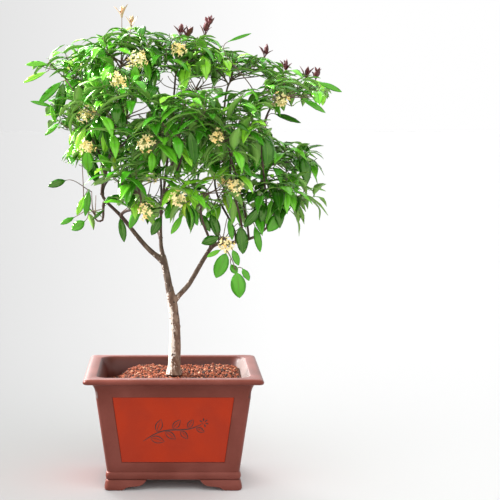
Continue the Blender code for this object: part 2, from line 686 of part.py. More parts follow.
class Crown:
    """The whole tree. It holds the limbs, and for each mass its stem, shoots, leaves and blossom."""
    def __init__(self):
        self.masses = [Mass(name, number) for number, name in enumerate(MASSES)]
        self.limbs = main_limbs()
        for mass in self.masses:
            if mass.share is not None:
                self.limbs["bough_" + mass.name] = grow_bough(mass, self.limbs)
        self.stems, self.shoots = {}, {}
        for mass in self.masses:
            self.stems[mass.name], self.shoots[mass.name] = grow_shoots(mass, self.masses, self.limbs)
        self.blooms = {m.name: self.grow_blooms(m) for m in self.masses}
        self.leaves, self.young = {}, {}
        for mass in self.masses:
            self.leaves[mass.name] = self.grow_leaves(mass, PAIRS)
            self.young[mass.name] = self.grow_young(mass)

    def grow_blooms(self, mass):
        """The middle, axis and turn of each cluster of blossom."""
        blooms = []
        for shoot in self.shoots[mass.name]:
            end, axis = along(shoot.line, 1)
            corners = [end + offset * BLOOM_RADIUS for offset in bloom_spikes(axis, shoot.seed)]
            free = in_space(corners, mass, self.masses, CELL_CLEAR)
            if shoot.kind == "bloom" and free and off_limbs(corners, self.limbs.values(), LIMB_CLEAR):
                blooms.append((end, axis, shoot.seed))
        return blooms

    def hides_bloom(self, points):
        """True if the points meet blossom, or stand in front of it."""
        seen = front_view(points)
        for blooms in self.blooms.values():
            for middle, _, _ in blooms:
                if np.linalg.norm(points - np.array(middle), axis=1).min() < BLOOM_RADIUS:
                    return True
                place = front_view(np.array([tuple(middle)]))
                near = np.linalg.norm(seen - place, axis=1) < BLOOM_RADIUS * 0.9
                if middle.y < 0 and (near & (points[:, 1] < middle.y)).any():
                    return True
        return False

    def grow_leaves(self, mass, pairs):
        """Pairs of leaves at the shoots' ends. A leaf with no room is tried again, then skipped."""
        leaves, taken = [], []
        for shoot in self.shoots[mass.name]:
            for pair in range(pairs):
                if (shoot.first_pair + PAIR_STEP * pair) / shoot.length > 0.85:
                    break
                for half_turn in (0, 1):
                    draw = random.Random(shoot.seed * 100 + pair * 2 + half_turn)
                    for trial in range(LEAF_TRIES):
                        leaf = leaf_on(shoot, pair, half_turn, draw, trial)
                        if self.has_room(leaf, mass, taken):
                            leaves.append(leaf)
                            taken.append(leaf.samples())
                            break
        return leaves

    def has_room(self, leaf, mass, taken):
        spots = leaf.samples()
        if not in_space([leaf.root, leaf.tip, *leaf.edges()], mass, self.masses, CELL_CLEAR) or in_gap(spots):
            return False
        if not off_limbs(spots, self.limbs.values(), LIMB_CLEAR) or self.hides_bloom(spots):
            return False
        if not taken:
            return True
        apart = np.linalg.norm(spots[3:, None] - np.concatenate(taken)[None], axis=2)
        return apart.min() > LEAF_CLEAR

    def grow_young(self, mass):
        """Small young leaves, upright at the tips of the topmost shoots."""
        young = []
        for shoot in self.shoots[mass.name]:
            if shoot.kind != "young":
                continue
            end, axis = along(shoot.line, 1)
            for number in range(3):
                side = around(axis, shoot.seed + math.tau / 3 * number)
                heading = (axis + Vector((0, 0, 0.6)) + side * 0.4).normalized()
                leaf = Leaf(end - axis * 0.002, heading, -side, YOUNG_LENGTH, YOUNG_SLIMNESS, -0.2)
                if in_space([leaf.tip, *leaf.edges()], mass, self.masses, CELL_CLEAR):
                    young.append(leaf)
        return young


def bloom_spikes(axis, turn):
    """The directions of the eight points of a cluster of blossom."""
    x = around(axis, turn)
    y = axis.cross(x)
    return [(x * a + y * b + axis * c).normalized() for a in (1, -1) for b in (1, -1) for c in (1, -1)]


# The lines below turn the grown tree into solids

def tube(name, line, radii, sides, finish=None, ends=0.0, flat_foot=False):
    """A closed tube. Its frame turns as little as it can along the line."""
    line = list(line)
    line[0] = line[0] - (line[1] - line[0]).normalized() * ends
    line[-1] = line[-1] + (line[-1] - line[-2]).normalized() * ends
    axis = (line[1] - line[0]).normalized()
    flat = axis.orthogonal().normalized()
    rings = []
    for k, point in enumerate(line):
        ahead = line[min(k + 1, len(line) - 1)] - line[max(k - 1, 0)]
        turned = ahead.normalized()
        flat = (flat - turned * flat.dot(turned)).normalized()
        other = turned.cross(flat)
        turns = [math.tau * i / sides for i in range(sides)]
        rings.append([point + (flat * math.cos(t) + other * math.sin(t)) * radii[k] for t in turns])
    if flat_foot:
        rings[0] = [Vector((p.x, p.y, line[0].z)) for p in rings[0]]
    return loft(name, rings, finish)


def build_limbs(limbs, bark):
    """Each limb is cut clear of the earlier ones that it grows from."""
    built = []
    for name, limb in limbs.items():
        sides = SIDES.get(name, THIN_SIDES)
        made = tube(name, limb.line, limb.radii, sides, bark, flat_foot=name == "trunk")
        cutters = []
        for earlier in built:
            apart = np.linalg.norm(limb.points[:, None] - earlier.points[None], axis=2)
            apart -= limb.thick[:, None] + earlier.thick[None]
            if apart.min() < GAP:
                clear = [radius + GAP * 1.15 for radius in earlier.radii]
                around_it = SIDES.get(earlier.name, THIN_SIDES)
                cutters.append(tube("clear", earlier.line, clear, around_it, ends=GAP))
        if cutters:
            cut(made, cutters)
        shade(made)
        built.append(limb)


def leaf_solid(leaf):
    """A folded leaf of six faces with a keel under its waist. Its root is sunk in the twig."""
    left, right = leaf.edges()
    keel = leaf.waist - leaf.face * LEAF_KEEL
    points = [leaf.root - leaf.heading * LEAF_SUNK, left, right, leaf.tip, keel]
    faces = [(0, 2, 1), (3, 1, 2), (0, 1, 4), (0, 4, 2), (3, 4, 1), (3, 2, 4)]
    return points, faces


def bloom_solid(middle, axis, turn):
    """A cluster of blossom as a star with eight points."""
    x = around(axis, turn)
    y = axis.cross(x)
    core = BLOOM_RADIUS * 0.55
    points = [middle + v * core for v in (x, -x, y, -y, axis, -axis)]
    faces = []
    corners = [(a, b, c) for a in (0, 1) for b in (2, 3) for c in (4, 5)]
    for spike, (a, b, c) in zip(bloom_spikes(axis, turn), corners):
        points.append(middle + spike * BLOOM_RADIUS)
        top = len(points) - 1
        faces += [(a, b, top), (b, c, top), (c, a, top)]
    return points, faces


def union_closes(item):
    """True if the object's union, as set, gives a skin whose every edge has two faces."""
    bpy.context.view_layer.update()
    mesh = bmesh.new()
    mesh.from_object(item, bpy.context.evaluated_depsgraph_get())
    closes = all(len(edge.link_faces) == 2 for edge in mesh.edges)
    mesh.free()
    return closes


def build_mass(name, crown, foliage):
    """One Boolean union joins the twigs, leaves and blossom of a mass."""
    parts = bpy.data.collections.new(name)
    bpy.context.scene.collection.children.link(parts)
    line = crown.stems[name]
    stem = tube("leaves_" + name, line, taper(len(line), STEM_RADIUS, TWIG_RADIUS), 3, foliage)
    pieces = []
    for shoot in crown.shoots[name]:
        pieces.append(tube("twig", shoot.line, taper(len(shoot.line), TWIG_RADIUS, TWIG_TIP), 3))
    pieces += [mesh_object("leaf", *leaf_solid(leaf)) for leaf in crown.leaves[name] + crown.young[name]]
    pieces += [mesh_object("bloom", *bloom_solid(*bloom)) for bloom in crown.blooms[name]]
    for piece in pieces:
        bpy.context.scene.collection.objects.unlink(piece)
        parts.objects.link(piece)
        tidy_normals(piece)
    join = stem.modifiers.new("join", "BOOLEAN")
    join.operation = "UNION"
    join.operand_type = "COLLECTION"
    join.collection = parts
    join.solver = "EXACT" if union_closes(stem) else "MANIFOLD"
    settle(stem)
    for piece in pieces:
        bpy.data.objects.remove(piece, do_unlink=True)
    bpy.data.collections.remove(parts)


def main():
    clear_scene()
    clay = material("purple_clay", (0.20, 0.075, 0.070), 0.55)
    red_clay = material("red_clay", (0.47, 0.065, 0.028), 0.55)
    grit = material("soil_grit", (0.52, 0.17, 0.09), 0.9)
    bark = material("bark", (0.25, 0.18, 0.13), 0.8)
    foliage = material("foliage", (0.04, 0.20, 0.02), 0.4)
    build_pot(clay)
    build_panels(red_clay)
    for name, sign_x, sign_y in (("foot_front_left", -1, -1), ("foot_front_right", 1, -1),
                                 ("foot_back_right", 1, 1), ("foot_back_left", -1, 1)):
        build_foot(name, sign_x, sign_y, clay)
    build_soil(grit)
    crown = Crown()
    build_limbs(crown.limbs, bark)
    for mass in crown.masses:
        build_mass(mass.name, crown, foliage)


main()
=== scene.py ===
# %% [markdown]
# # A potted sweet osmanthus
#
# This lesson dresses a measured model of a small flowering tree in a footed clay pot. The model gives
# every solid at its real size and in its real place, in metres. It is loaded first as a fixed frame,
# and nothing in it is moved or reshaped. Each plain solid is then replaced by a finer mesh, or given a
# better finish, until the whole looks like the living plant.
#
# Numbers that never change have names in capital letters, and the sizes of the pot are read from the
# frame, so a change in the measured model carries through to the looks.

# %% Load the measured model
import json
import math
import random

import bmesh
import bpy
import numpy as np
from mathutils import Matrix, Vector, noise

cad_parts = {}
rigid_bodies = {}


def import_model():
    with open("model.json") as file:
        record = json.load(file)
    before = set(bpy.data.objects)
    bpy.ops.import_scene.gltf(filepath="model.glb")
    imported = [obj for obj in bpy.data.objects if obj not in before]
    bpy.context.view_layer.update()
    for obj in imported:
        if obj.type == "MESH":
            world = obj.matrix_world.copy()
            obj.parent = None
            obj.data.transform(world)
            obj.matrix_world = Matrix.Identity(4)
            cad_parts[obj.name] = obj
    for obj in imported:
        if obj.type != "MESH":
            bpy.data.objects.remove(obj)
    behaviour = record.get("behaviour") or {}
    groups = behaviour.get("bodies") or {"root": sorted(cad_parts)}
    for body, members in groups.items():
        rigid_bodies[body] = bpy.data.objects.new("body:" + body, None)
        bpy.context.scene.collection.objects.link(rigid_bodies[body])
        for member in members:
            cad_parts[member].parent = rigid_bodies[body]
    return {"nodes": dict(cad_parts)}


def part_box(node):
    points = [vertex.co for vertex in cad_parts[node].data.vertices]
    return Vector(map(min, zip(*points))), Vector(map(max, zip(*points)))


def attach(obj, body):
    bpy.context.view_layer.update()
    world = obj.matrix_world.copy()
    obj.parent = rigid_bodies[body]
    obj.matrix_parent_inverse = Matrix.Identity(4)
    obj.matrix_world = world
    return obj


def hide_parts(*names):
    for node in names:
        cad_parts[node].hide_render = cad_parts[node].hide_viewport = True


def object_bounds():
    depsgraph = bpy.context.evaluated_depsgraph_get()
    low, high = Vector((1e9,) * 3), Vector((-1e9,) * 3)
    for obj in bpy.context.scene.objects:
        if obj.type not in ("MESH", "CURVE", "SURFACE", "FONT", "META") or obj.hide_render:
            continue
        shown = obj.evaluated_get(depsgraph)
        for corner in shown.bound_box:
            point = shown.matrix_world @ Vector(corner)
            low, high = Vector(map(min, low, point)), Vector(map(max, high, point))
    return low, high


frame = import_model()
cad_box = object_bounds()
print("nodes in the frame:", len(frame["nodes"]))
print("box of the model:", [[round(float(value), 3) for value in corner] for corner in cad_box])

# %% [markdown]
# ## The camera
#
# A picture taken with a long lens from under three metres has little perspective, which suits a plant:
# near leaves don't swell. The camera looks down by about five degrees, enough to see over the pot's rim
# and onto the soil. The plant stands left of the middle, which leaves open space beside it. Turning the
# camera would do that, but it would also tilt the pot's level edges. A shifted lens slides the picture
# sideways instead and keeps them level, as architects' cameras do.
#
# Blender's lens is in millimetres on a sensor 36 mm wide, so a focal length measured in picture widths
# only has to be scaled by the sensor.

# %% Camera
PICTURE = 500  # width and height of the picture
FOCAL = 1387.2  # focal length in the same units
LENS_ACROSS = 167.7  # how far from the picture's left edge the lens points
SENSOR = 36.0  # millimetres
CAMERA_PLACE = (-0.0103, -2.6199, 0.6825)
LOOK_DOWN = 0.09278  # radians


def add_object(name, data):
    """An object with this data, placed in the scene."""
    made = bpy.data.objects.new(name, data)
    bpy.context.scene.collection.objects.link(made)
    return made


camera_data = bpy.data.cameras.new("camera")
camera_data.sensor_width = SENSOR
camera_data.lens = SENSOR * FOCAL / PICTURE
camera_data.shift_x = 0.5 - LENS_ACROSS / PICTURE
camera_data.clip_end = 200
camera = add_object("camera", camera_data)
camera.location = CAMERA_PLACE
camera.rotation_euler = (math.pi / 2 - LOOK_DOWN, 0, 0)
bpy.context.scene.camera = camera
print("lens:", round(camera_data.lens, 1), "mm")

# %% [markdown]
# ## Finishes
#
# A finish starts as Blender's Principled shader with a colour and a roughness. Two helpers make it less
# plain. `mottle` blends in a second colour through soft noise, for stains, clouds and grain. `roughen`
# tilts the surface by noise, so that light breaks up on it as it does on clay or bark. Both measure
# their noise in the object's own space in metres, so the grain has its real size.

# %% Helpers for finishes
def finish(name, colour, roughness, sockets=None):
    """A material of one colour. Other sockets are given by name."""
    made = bpy.data.materials.new(name)
    made.use_nodes = True
    shader = made.node_tree.nodes["Principled BSDF"]
    for socket, value in {"Base Color": (*colour, 1), "Roughness": roughness, **(sockets or {})}.items():
        shader.inputs[socket].default_value = value
    return made


def noise_of(made, scale, detail, stretch):
    """The output of a noise texture in the object's own space."""
    nodes, links = made.node_tree.nodes, made.node_tree.links
    place = nodes.new("ShaderNodeTexCoord")
    squeeze = nodes.new("ShaderNodeMapping")
    squeeze.inputs["Scale"].default_value = stretch
    grain = nodes.new("ShaderNodeTexNoise")
    grain.inputs["Scale"].default_value = scale
    grain.inputs["Detail"].default_value = detail
    links.new(place.outputs["Object"], squeeze.inputs["Vector"])
    links.new(squeeze.outputs["Vector"], grain.inputs["Vector"])
    return grain.outputs["Fac"]


def mottle(made, colour, scale, low, high, detail=4, stretch=(1, 1, 1)):
    """Blends in a colour where noise rises from low to high."""
    nodes, links = made.node_tree.nodes, made.node_tree.links
    base = nodes["Principled BSDF"].inputs["Base Color"]
    share = nodes.new("ShaderNodeMapRange")
    share.inputs["From Min"].default_value = low
    share.inputs["From Max"].default_value = high
    links.new(noise_of(made, scale, detail, stretch), share.inputs["Value"])
    blend = nodes.new("ShaderNodeMix")
    blend.data_type = "RGBA"
    links.new(share.outputs["Result"], blend.inputs["Factor"])
    under, over = (next(s for s in blend.inputs if s.name == name and s.type == "RGBA") for name in "AB")
    if base.is_linked:
        links.new(base.links[0].from_socket, under)
    else:
        under.default_value = base.default_value
    over.default_value = (*colour, 1)
    links.new(next(s for s in blend.outputs if s.type == "RGBA"), base)


def roughen(made, scale, depth, detail=4, stretch=(1, 1, 1)):
    """Adds relief of a depth in metres."""
    nodes, links = made.node_tree.nodes, made.node_tree.links
    normal = nodes["Principled BSDF"].inputs["Normal"]
    bump = nodes.new("ShaderNodeBump")
    bump.inputs["Distance"].default_value = depth
    links.new(noise_of(made, scale, detail, stretch), bump.inputs["Height"])
    if normal.is_linked:
        links.new(normal.links[0].from_socket, bump.inputs["Normal"])
    links.new(bump.outputs["Normal"], normal)


# %% [markdown]
# ## Floor and light
#
# The plant stands on a wide pale floor in a bright studio. The world is the studio's walls: a little
# darker on the left, with a broad bright window behind the plant. All that lies flat, such as the rim
# and the upper sides of leaves, mirrors that window, which gives it a pale sheen. One large lamp, high on
# the left and a little behind, gives the light a direction: it brightens the left side of the trunk, the
# tops of the rim and the far inside wall of the pot. The walls behind the camera are brighter than those
# in the picture, which fills the shadows on the plant's front.
#
# The floor should melt into the walls without a line. So its paint fades with the bearing from the camera
# just as the walls' light does, darker to the left, which is painted shade. The lamp, which would brighten
# only the near floor, is kept off it by light linking. A picture with such a bright ground needs clean
# whites and full greens, so the view transform is the standard one.

# %% Walls and paint
WALL_TONES = (0.783, 1.0)  # at the left edge of the picture, and right of its middle
WALL_BEARINGS = (-0.121, 0.081)  # metres sideways for each metre ahead, where the tones are reached
FRONT_LIGHT = 0.75  # what the walls behind the camera add
FRONT_FROM = (-0.1, -0.6)  # directions, as their y, between which it grows
FLOOR_LIGHT = 1.26  # how bright white paint would be on the floor
WINDOW_TOWARDS = (-0.33, 0.87, 0.37)
WINDOW_LIGHT = 6.5
WINDOW_EDGE = (20, 9)  # degrees from its middle where it starts and where it is full


def ramp(nodes, links, source, lows, ends, easing="LINEAR"):
    """A value that goes from one end to the other while its source goes between the lows."""
    change = nodes.new("ShaderNodeMapRange")
    change.interpolation_type = easing
    for socket, value in zip(("From Min", "From Max", "To Min", "To Max"), (*lows, *ends)):
        change.inputs[socket].default_value = value
    links.new(source, change.inputs["Value"])
    return change.outputs["Result"]


def sum_of(nodes, links, operation, first, second):
    """A maths node on two sockets or numbers."""
    made = nodes.new("ShaderNodeMath")
    made.operation = operation
    for socket, value in zip(made.inputs, (first, second)):
        if isinstance(value, float):
            socket.default_value = value
        else:
            links.new(value, socket)
    return made.outputs["Value"]


def studio_world():
    """The walls, the window behind the plant, and the light from behind the camera."""
    world = bpy.data.worlds.new("studio")
    world.use_nodes = True
    nodes, links = world.node_tree.nodes, world.node_tree.links
    towards = nodes.new("ShaderNodeTexCoord").outputs["Generated"]
    parts = nodes.new("ShaderNodeSeparateXYZ")
    links.new(towards, parts.inputs["Vector"])
    walls = ramp(nodes, links, parts.outputs["X"], WALL_BEARINGS, WALL_TONES)
    near_window = nodes.new("ShaderNodeVectorMath")
    near_window.operation = "DOT_PRODUCT"
    near_window.inputs[1].default_value = Vector(WINDOW_TOWARDS).normalized()
    links.new(towards, near_window.inputs[0])
    edge = [math.cos(math.radians(angle)) for angle in WINDOW_EDGE]
    window = ramp(nodes, links, near_window.outputs["Value"], edge, (0, WINDOW_LIGHT), "SMOOTHSTEP")
    front = ramp(nodes, links, parts.outputs["Y"], FRONT_FROM, (0, FRONT_LIGHT), "SMOOTHSTEP")
    all_light = sum_of(nodes, links, "ADD", sum_of(nodes, links, "ADD", walls, window), front)
    nodes["Background"].inputs["Color"].default_value = (1.0, 1.0, 1.0, 1)
    links.new(all_light, nodes["Background"].inputs["Strength"])
    return world


def floor_paint():
    """Matt white paint whose tone fades with the bearing from the camera, darker to the left: painted shade.
    """
    made = finish("floor_paint", (0.9, 0.9, 0.9), 0.9, {"Specular IOR Level": 0.0})
    nodes, links = made.node_tree.nodes, made.node_tree.links
    parts = nodes.new("ShaderNodeSeparateXYZ")
    links.new(nodes.new("ShaderNodeTexCoord").outputs["Object"], parts.inputs["Vector"])
    across = sum_of(nodes, links, "SUBTRACT", parts.outputs["X"], CAMERA_PLACE[0])
    ahead = sum_of(nodes, links, "SUBTRACT", parts.outputs["Y"], CAMERA_PLACE[1])
    bearing = sum_of(nodes, links, "DIVIDE", across, sum_of(nodes, links, "MAXIMUM", ahead, 1.0))
    # the tones fall off to the left as the walls' light does: painted shade
    tones = [tone / FLOOR_LIGHT for tone in WALL_TONES]
    tone = ramp(nodes, links, bearing, WALL_BEARINGS, tones)
    links.new(tone, nodes["Principled BSDF"].inputs["Base Color"])
    return made


# %% The floor and the lamp
FLOOR_RADIUS = 90.0
KEY_PLACE = (-2.6, 0.9, 2.3)
KEY_AIM = (0.0, 0.0, 0.45)
KEY_SIZE = 1.2
KEY_POWER = 400  # watts

bpy.context.scene.view_settings.view_transform = "Standard"
bpy.context.scene.world = studio_world()

disc = bmesh.new()
bmesh.ops.create_circle(disc, cap_ends=True, segments=96, radius=FLOOR_RADIUS)
floor_mesh = bpy.data.meshes.new("floor")
disc.to_mesh(floor_mesh)
disc.free()
floor_mesh.materials.append(floor_paint())
floor = add_object("floor", floor_mesh)

key_data = bpy.data.lights.new("key", "AREA")
key_data.size = KEY_SIZE
key_data.energy = KEY_POWER
key = add_object("key", key_data)
key.location = KEY_PLACE
key.rotation_euler = (Vector(KEY_AIM) - Vector(KEY_PLACE)).to_track_quat("-Z", "Y").to_euler()
beside_key = bpy.data.collections.new("not lit by the key")
beside_key.objects.link(floor)
beside_key.collection_objects[0].light_linking.link_state = "EXCLUDE"
key.light_linking.receiver_collection = beside_key
print("floor of", round(2 * FLOOR_RADIUS), "m")

# %% [markdown]
# ## Meshes from rings
#
# A pot, a foot, a trunk and a twig have one thing in common: each is a row of rings with a skin over
# them. So one helper lofts a closed skin through any rings with the same number of points. It gives
# plain lists of points and faces, which lets many small skins be joined before Blender sees them. That
# is far quicker than joining hundreds of objects.

# %% Helpers for meshes
def piece(name, points, faces, finishes, which=None, sharp=None):
    """A mesh object. Faces take their finish by its number in which. Edges over an angle stay sharp."""
    mesh = bpy.data.meshes.new(name)
    mesh.from_pydata([tuple(p) for p in points], [], faces)
    for made in finishes:
        mesh.materials.append(made)
    if which is not None:
        mesh.polygons.foreach_set("material_index", which)
    mesh.update()
    mesh.shade_smooth()
    if sharp:
        mesh.set_sharp_from_angle(angle=math.radians(sharp))
    return add_object(name, mesh)


def skin(rings):
    """Points and faces of a closed skin through rings. The first ring is lowest on the outside."""
    count = len(rings[0])
    points = [p for r in rings for p in r]
    faces = [tuple(reversed(range(count)))]
    for level in range(len(rings) - 1):
        low, high = level * count, (level + 1) * count
        faces += [(low + i, low + (i + 1) % count, high + (i + 1) % count, high + i) for i in range(count)]
    faces.append(tuple(range((len(rings) - 1) * count, len(rings) * count)))
    return points, faces


class Heap:
    """Gathers small skins that become one mesh."""
    def __init__(self):
        self.points, self.faces, self.which = [], [], []

    def add(self, points, faces, which=0):
        first = len(self.points)
        self.points += points
        self.faces += [tuple(first + i for i in face) for face in faces]
        self.which += [which] * len(faces)


def settle(item):
    """Applies the modifiers of an object."""
    bpy.context.view_layer.update()
    graph = bpy.context.evaluated_depsgraph_get()
    mesh = bpy.data.meshes.new_from_object(item.evaluated_get(graph))
    item.modifiers.clear()
    item.data = mesh


def face_outwards(item):
    """Turns the front of every face outwards."""
    mesh = bmesh.new()
    mesh.from_mesh(item.data)
    bmesh.ops.recalc_face_normals(mesh, faces=mesh.faces)
    mesh.to_mesh(item.data)
    mesh.free()


def cut(item, cutters, solver="EXACT"):
    """Takes the cutters out of an object and removes them."""
    for cutter in cutters:
        change = item.modifiers.new("cut", "BOOLEAN")
        change.operation = "DIFFERENCE"
        change.solver = solver
        change.object = cutter
    settle(item)
    for cutter in cutters:
        bpy.data.objects.remove(cutter, do_unlink=True)


def triangles(item):
    return sum(len(face.vertices) - 2 for face in item.data.polygons)


def dress(item, slot, *nodes):
    """Ties a finished piece to the frame, and says which nodes it stands for."""
    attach(item, "root")
    if nodes:
        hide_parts(*nodes)
    print(f"{item.name}: {triangles(item)} triangles, stands for {len(nodes)} nodes")


# %% [markdown]
# ## Clay
#
# The pot is unglazed stoneware. Purple clay fires to a brown purple with clouds of paler dust, and its
# surface is smooth with a fine sandy grain. The panels are let in from a red clay with the same grain.
# The strokes that decorate them are cut in, and their grooves are painted dark, which is painted shade.

# %% Clay finishes
PURPLE_CLAY = (0.140, 0.036, 0.026)
RED_CLAY = (0.390, 0.034, 0.012)

purple_clay = finish("purple_clay", PURPLE_CLAY, 0.34,
                     {"Specular IOR Level": 0.4, "Specular Tint": (1.0, 0.45, 0.38, 1)})
mottle(purple_clay, (0.185, 0.052, 0.040), 14, 0.42, 0.66)
mottle(purple_clay, (0.105, 0.026, 0.018), 900, 0.62, 0.72, detail=2)
roughen(purple_clay, 1300, 0.00006, detail=2)

RED_CLAY_GLOSS = {"Specular IOR Level": 0.3, "Specular Tint": (1.0, 0.3, 0.2, 1)}
red_clay = finish("red_clay", RED_CLAY, 0.45, RED_CLAY_GLOSS)
mottle(red_clay, (0.340, 0.032, 0.014), 18, 0.40, 0.64)
mottle(red_clay, (0.450, 0.070, 0.034), 950, 0.64, 0.74, detail=2)
roughen(red_clay, 1300, 0.00005, detail=2)

# Inside the pot: a darker clay that is painted shade, and a paler one that is painted light on the wall that
# faces the lamp.
damp_clay = finish("damp_clay", (0.092, 0.024, 0.018), 0.40, {"Specular IOR Level": 0.3})
dry_clay = finish("dry_clay", (0.205, 0.145, 0.132), 0.7)
for inner in (damp_clay, dry_clay):
    roughen(inner, 1300, 0.00006, detail=2)

# The dark finish of the grooves is painted shade inside the cut strokes.
dark_slip = finish("dark_slip", (0.055, 0.030, 0.030), 0.8)
roughen(dark_slip, 1500, 0.00008, detail=2)
print("clay finishes:", purple_clay.name, red_clay.name, dark_slip.name)

# %% [markdown]
# ## The pot
#
# Such a pot is built from slabs of clay: four leaning walls, a thin moulding round the foot, and a wide
# flat lip that sweeps out of the wall in a hollow curve. In Blender it is one skin. Its section is a
# list of insets from the rim at rising heights, up the outside, over the lip and down the inside, and
# each inset gives a rectangle with rounded corners. The hollow sweep is a quarter of an ellipse, and
# the edges that a thumb would soften are small arcs.

# %% Sizes of the pot
pot_low, pot_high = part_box("pot_body")
RIM_LENGTH = pot_high.x - pot_low.x
RIM_DEPTH = pot_high.y - pot_low.y
POT_HEIGHT = pot_high.z
FOOT_HEIGHT = pot_low.z
LIP_THICKNESS = 0.0100
LIP_WIDTH = 0.024
FLARE_HEIGHT = 0.0285
FLARE_INSET = 0.0228
WALL_THICKNESS = 0.012
WALL_FOOT_INSET = 0.0413
PLINTH_HEIGHT = 0.015
PLINTH_STEP = 0.002
BEAD_SWELL = 0.0030  # how far the moulding round the foot stands out
FLOOR_THICKNESS = 0.012
OUTER_CORNER = 0.008
INNER_CORNER = 0.026
CORNER_STEPS = 8
LIP_ROUND = (0.009, 0.006)  # inwards and down, where the lip's top turns over its edge
LIP_UNDER = (0.003, 0.0035)  # the same at its lower edge
LIP_SHELF = 0.0105  # how far in from the rim its level underside goes
SOFT_EDGE = 0.0022  # radius of its inner edge
WALL_TOP = POT_HEIGHT - LIP_THICKNESS - FLARE_HEIGHT
print("pot:", round(RIM_LENGTH, 3), "by", round(RIM_DEPTH, 3), "and", round(POT_HEIGHT, 3), "high")


# %% The pot's skin
def inset_ring(inset, corner, z):
    """A rectangle with rounded corners, set in from the rim."""
    half_x, half_y = RIM_LENGTH / 2 - inset, RIM_DEPTH / 2 - inset
    points = []
    for quarter in range(4):
        middle_x = math.copysign(half_x - corner, (1, -1, -1, 1)[quarter])
        middle_y = math.copysign(half_y - corner, (1, 1, -1, -1)[quarter])
        for step in range(CORNER_STEPS + 1):
            turn = math.pi / 2 * (quarter + step / CORNER_STEPS)
            points.append((middle_x + corner * math.cos(turn), middle_y + corner * math.sin(turn), z))
    return points


def arc(middle, size, start, end, steps):
    """Points of an arc as (inset, height), with angles in degrees and the size as two radii."""
    turns = [math.radians(start + (end - start) * step / steps) for step in range(steps + 1)]
    return [(middle[0] - size[0] * math.cos(turn), middle[1] + size[1] * math.sin(turn)) for turn in turns]


def outer_profile():
    """(inset, height) of the outside from the underside to the lip."""
    plinth = FOOT_HEIGHT + PLINTH_HEIGHT
    bead = (BEAD_SWELL, PLINTH_HEIGHT / 2)
    profile = arc((WALL_FOOT_INSET - PLINTH_STEP + bead[0], FOOT_HEIGHT + bead[1]), bead, -90, 84, 10)
    profile.append((WALL_FOOT_INSET + 0.0002, plinth + 0.0012))
    lip_foot = POT_HEIGHT - LIP_THICKNESS
    sweep = (FLARE_INSET - LIP_SHELF, lip_foot - WALL_TOP)
    profile += [(FLARE_INSET - sweep[0] * (1 - math.cos(turn)), WALL_TOP + sweep[1] * math.sin(turn))
                for turn in (math.pi / 2 * step / 10 for step in range(11))]
    profile += arc((LIP_UNDER[0], lip_foot + LIP_UNDER[1]), LIP_UNDER, -80, 0, 4)
    profile += arc((LIP_ROUND[0], POT_HEIGHT - LIP_ROUND[1]), LIP_ROUND, 0, 90, 7)
    return profile


def inner_inset(height):
    """How far in from the rim the inner wall is at a height."""
    wall_inset = FLARE_INSET + WALL_THICKNESS
    if height < WALL_TOP:
        share = (WALL_TOP - height) / (WALL_TOP - FOOT_HEIGHT - FLOOR_THICKNESS)
        return wall_inset + share * (WALL_FOOT_INSET + WALL_THICKNESS - wall_inset)
    share = (height - WALL_TOP) / (POT_HEIGHT - WALL_TOP)
    return wall_inset - (wall_inset - LIP_WIDTH) * share ** 2


def inner_corner(height):
    """The radius of the inside's corners, which widen upwards."""
    return INNER_CORNER * (0.6 + 0.4 * height / POT_HEIGHT)


def pot_rings():
    """The whole section as rings, up the outside and down the inside."""
    rings = [inset_ring(inset, OUTER_CORNER, z) for inset, z in outer_profile()]
    inside = [(LIP_WIDTH - SOFT_EDGE, POT_HEIGHT), (LIP_WIDTH - 0.0006, POT_HEIGHT - 0.0007)]
    for inset, height in inside:
        rings.append(inset_ring(inset, inner_corner(POT_HEIGHT), height))
    for step in range(1, 9):
        height = POT_HEIGHT - (POT_HEIGHT - WALL_TOP) * step / 8
        rings.append(inset_ring(inner_inset(height), inner_corner(height), height))
    bottom = FOOT_HEIGHT + FLOOR_THICKNESS
    rings.append(inset_ring(inner_inset(bottom), inner_corner(bottom), bottom))
    return rings


print("rings in the pot's skin:", len(pot_rings()))


# %% [markdown]
# ## The panels
#
# Each wall has a shallow pocket, and a plate of red clay is let into it with a hair of room round it.
# The pocket is cut by a Boolean, so the clay round the plate has a true edge that catches the light.
# On the front and back plates a plain leafy sprig is cut in with a V-shaped groove. Each stroke is a
# thin tube with four sides that swells in the middle and runs out to nothing at its ends, as a cut
# made by hand does. The Boolean leaves half of the tube's shape in the plate. It also hands the
# tube's dark finish to the new faces, so the groove is dark, which is painted shade, and the plate stays red.

# %% Panels and pockets
PANEL_TOP = 0.1785
PANEL_BOTTOM = 0.0530
PANEL_MARGIN = 0.0304
POCKET_DEPTH = 0.003
PANEL_SUNK = 0.0008
GAP = 0.0003  # room between pieces that are let in
PANEL_EDGE = 0.0011  # radius of its soft edge
SIDES_OF_POT = ("front", "right", "back", "left")
SLOPE = math.atan2(FLARE_INSET - WALL_FOOT_INSET, PANEL_TOP - PANEL_BOTTOM)


def wall_half(side, height):
    """Half the width of one wall at a height, and how far it is from the middle."""
    wall_foot = FOOT_HEIGHT + PLINTH_HEIGHT
    share = (height - wall_foot) / (WALL_TOP - wall_foot)
    inset = WALL_FOOT_INSET + share * (FLARE_INSET - WALL_FOOT_INSET)
    long_half, short_half = RIM_LENGTH / 2 - inset, RIM_DEPTH / 2 - inset
    return (long_half, short_half) if side % 2 == 0 else (short_half, long_half)


def on_wall(side, along_wall, height, depth):
    """A point on a wall, given along the wall and by height, and a depth outwards."""
    away = wall_half(side, height)[1]
    outward = Vector((0, -math.cos(SLOPE), math.sin(SLOPE)))
    at = Vector((along_wall, -away, height)) + outward * depth
    return Matrix.Rotation(side * math.pi / 2, 3, "Z") @ at


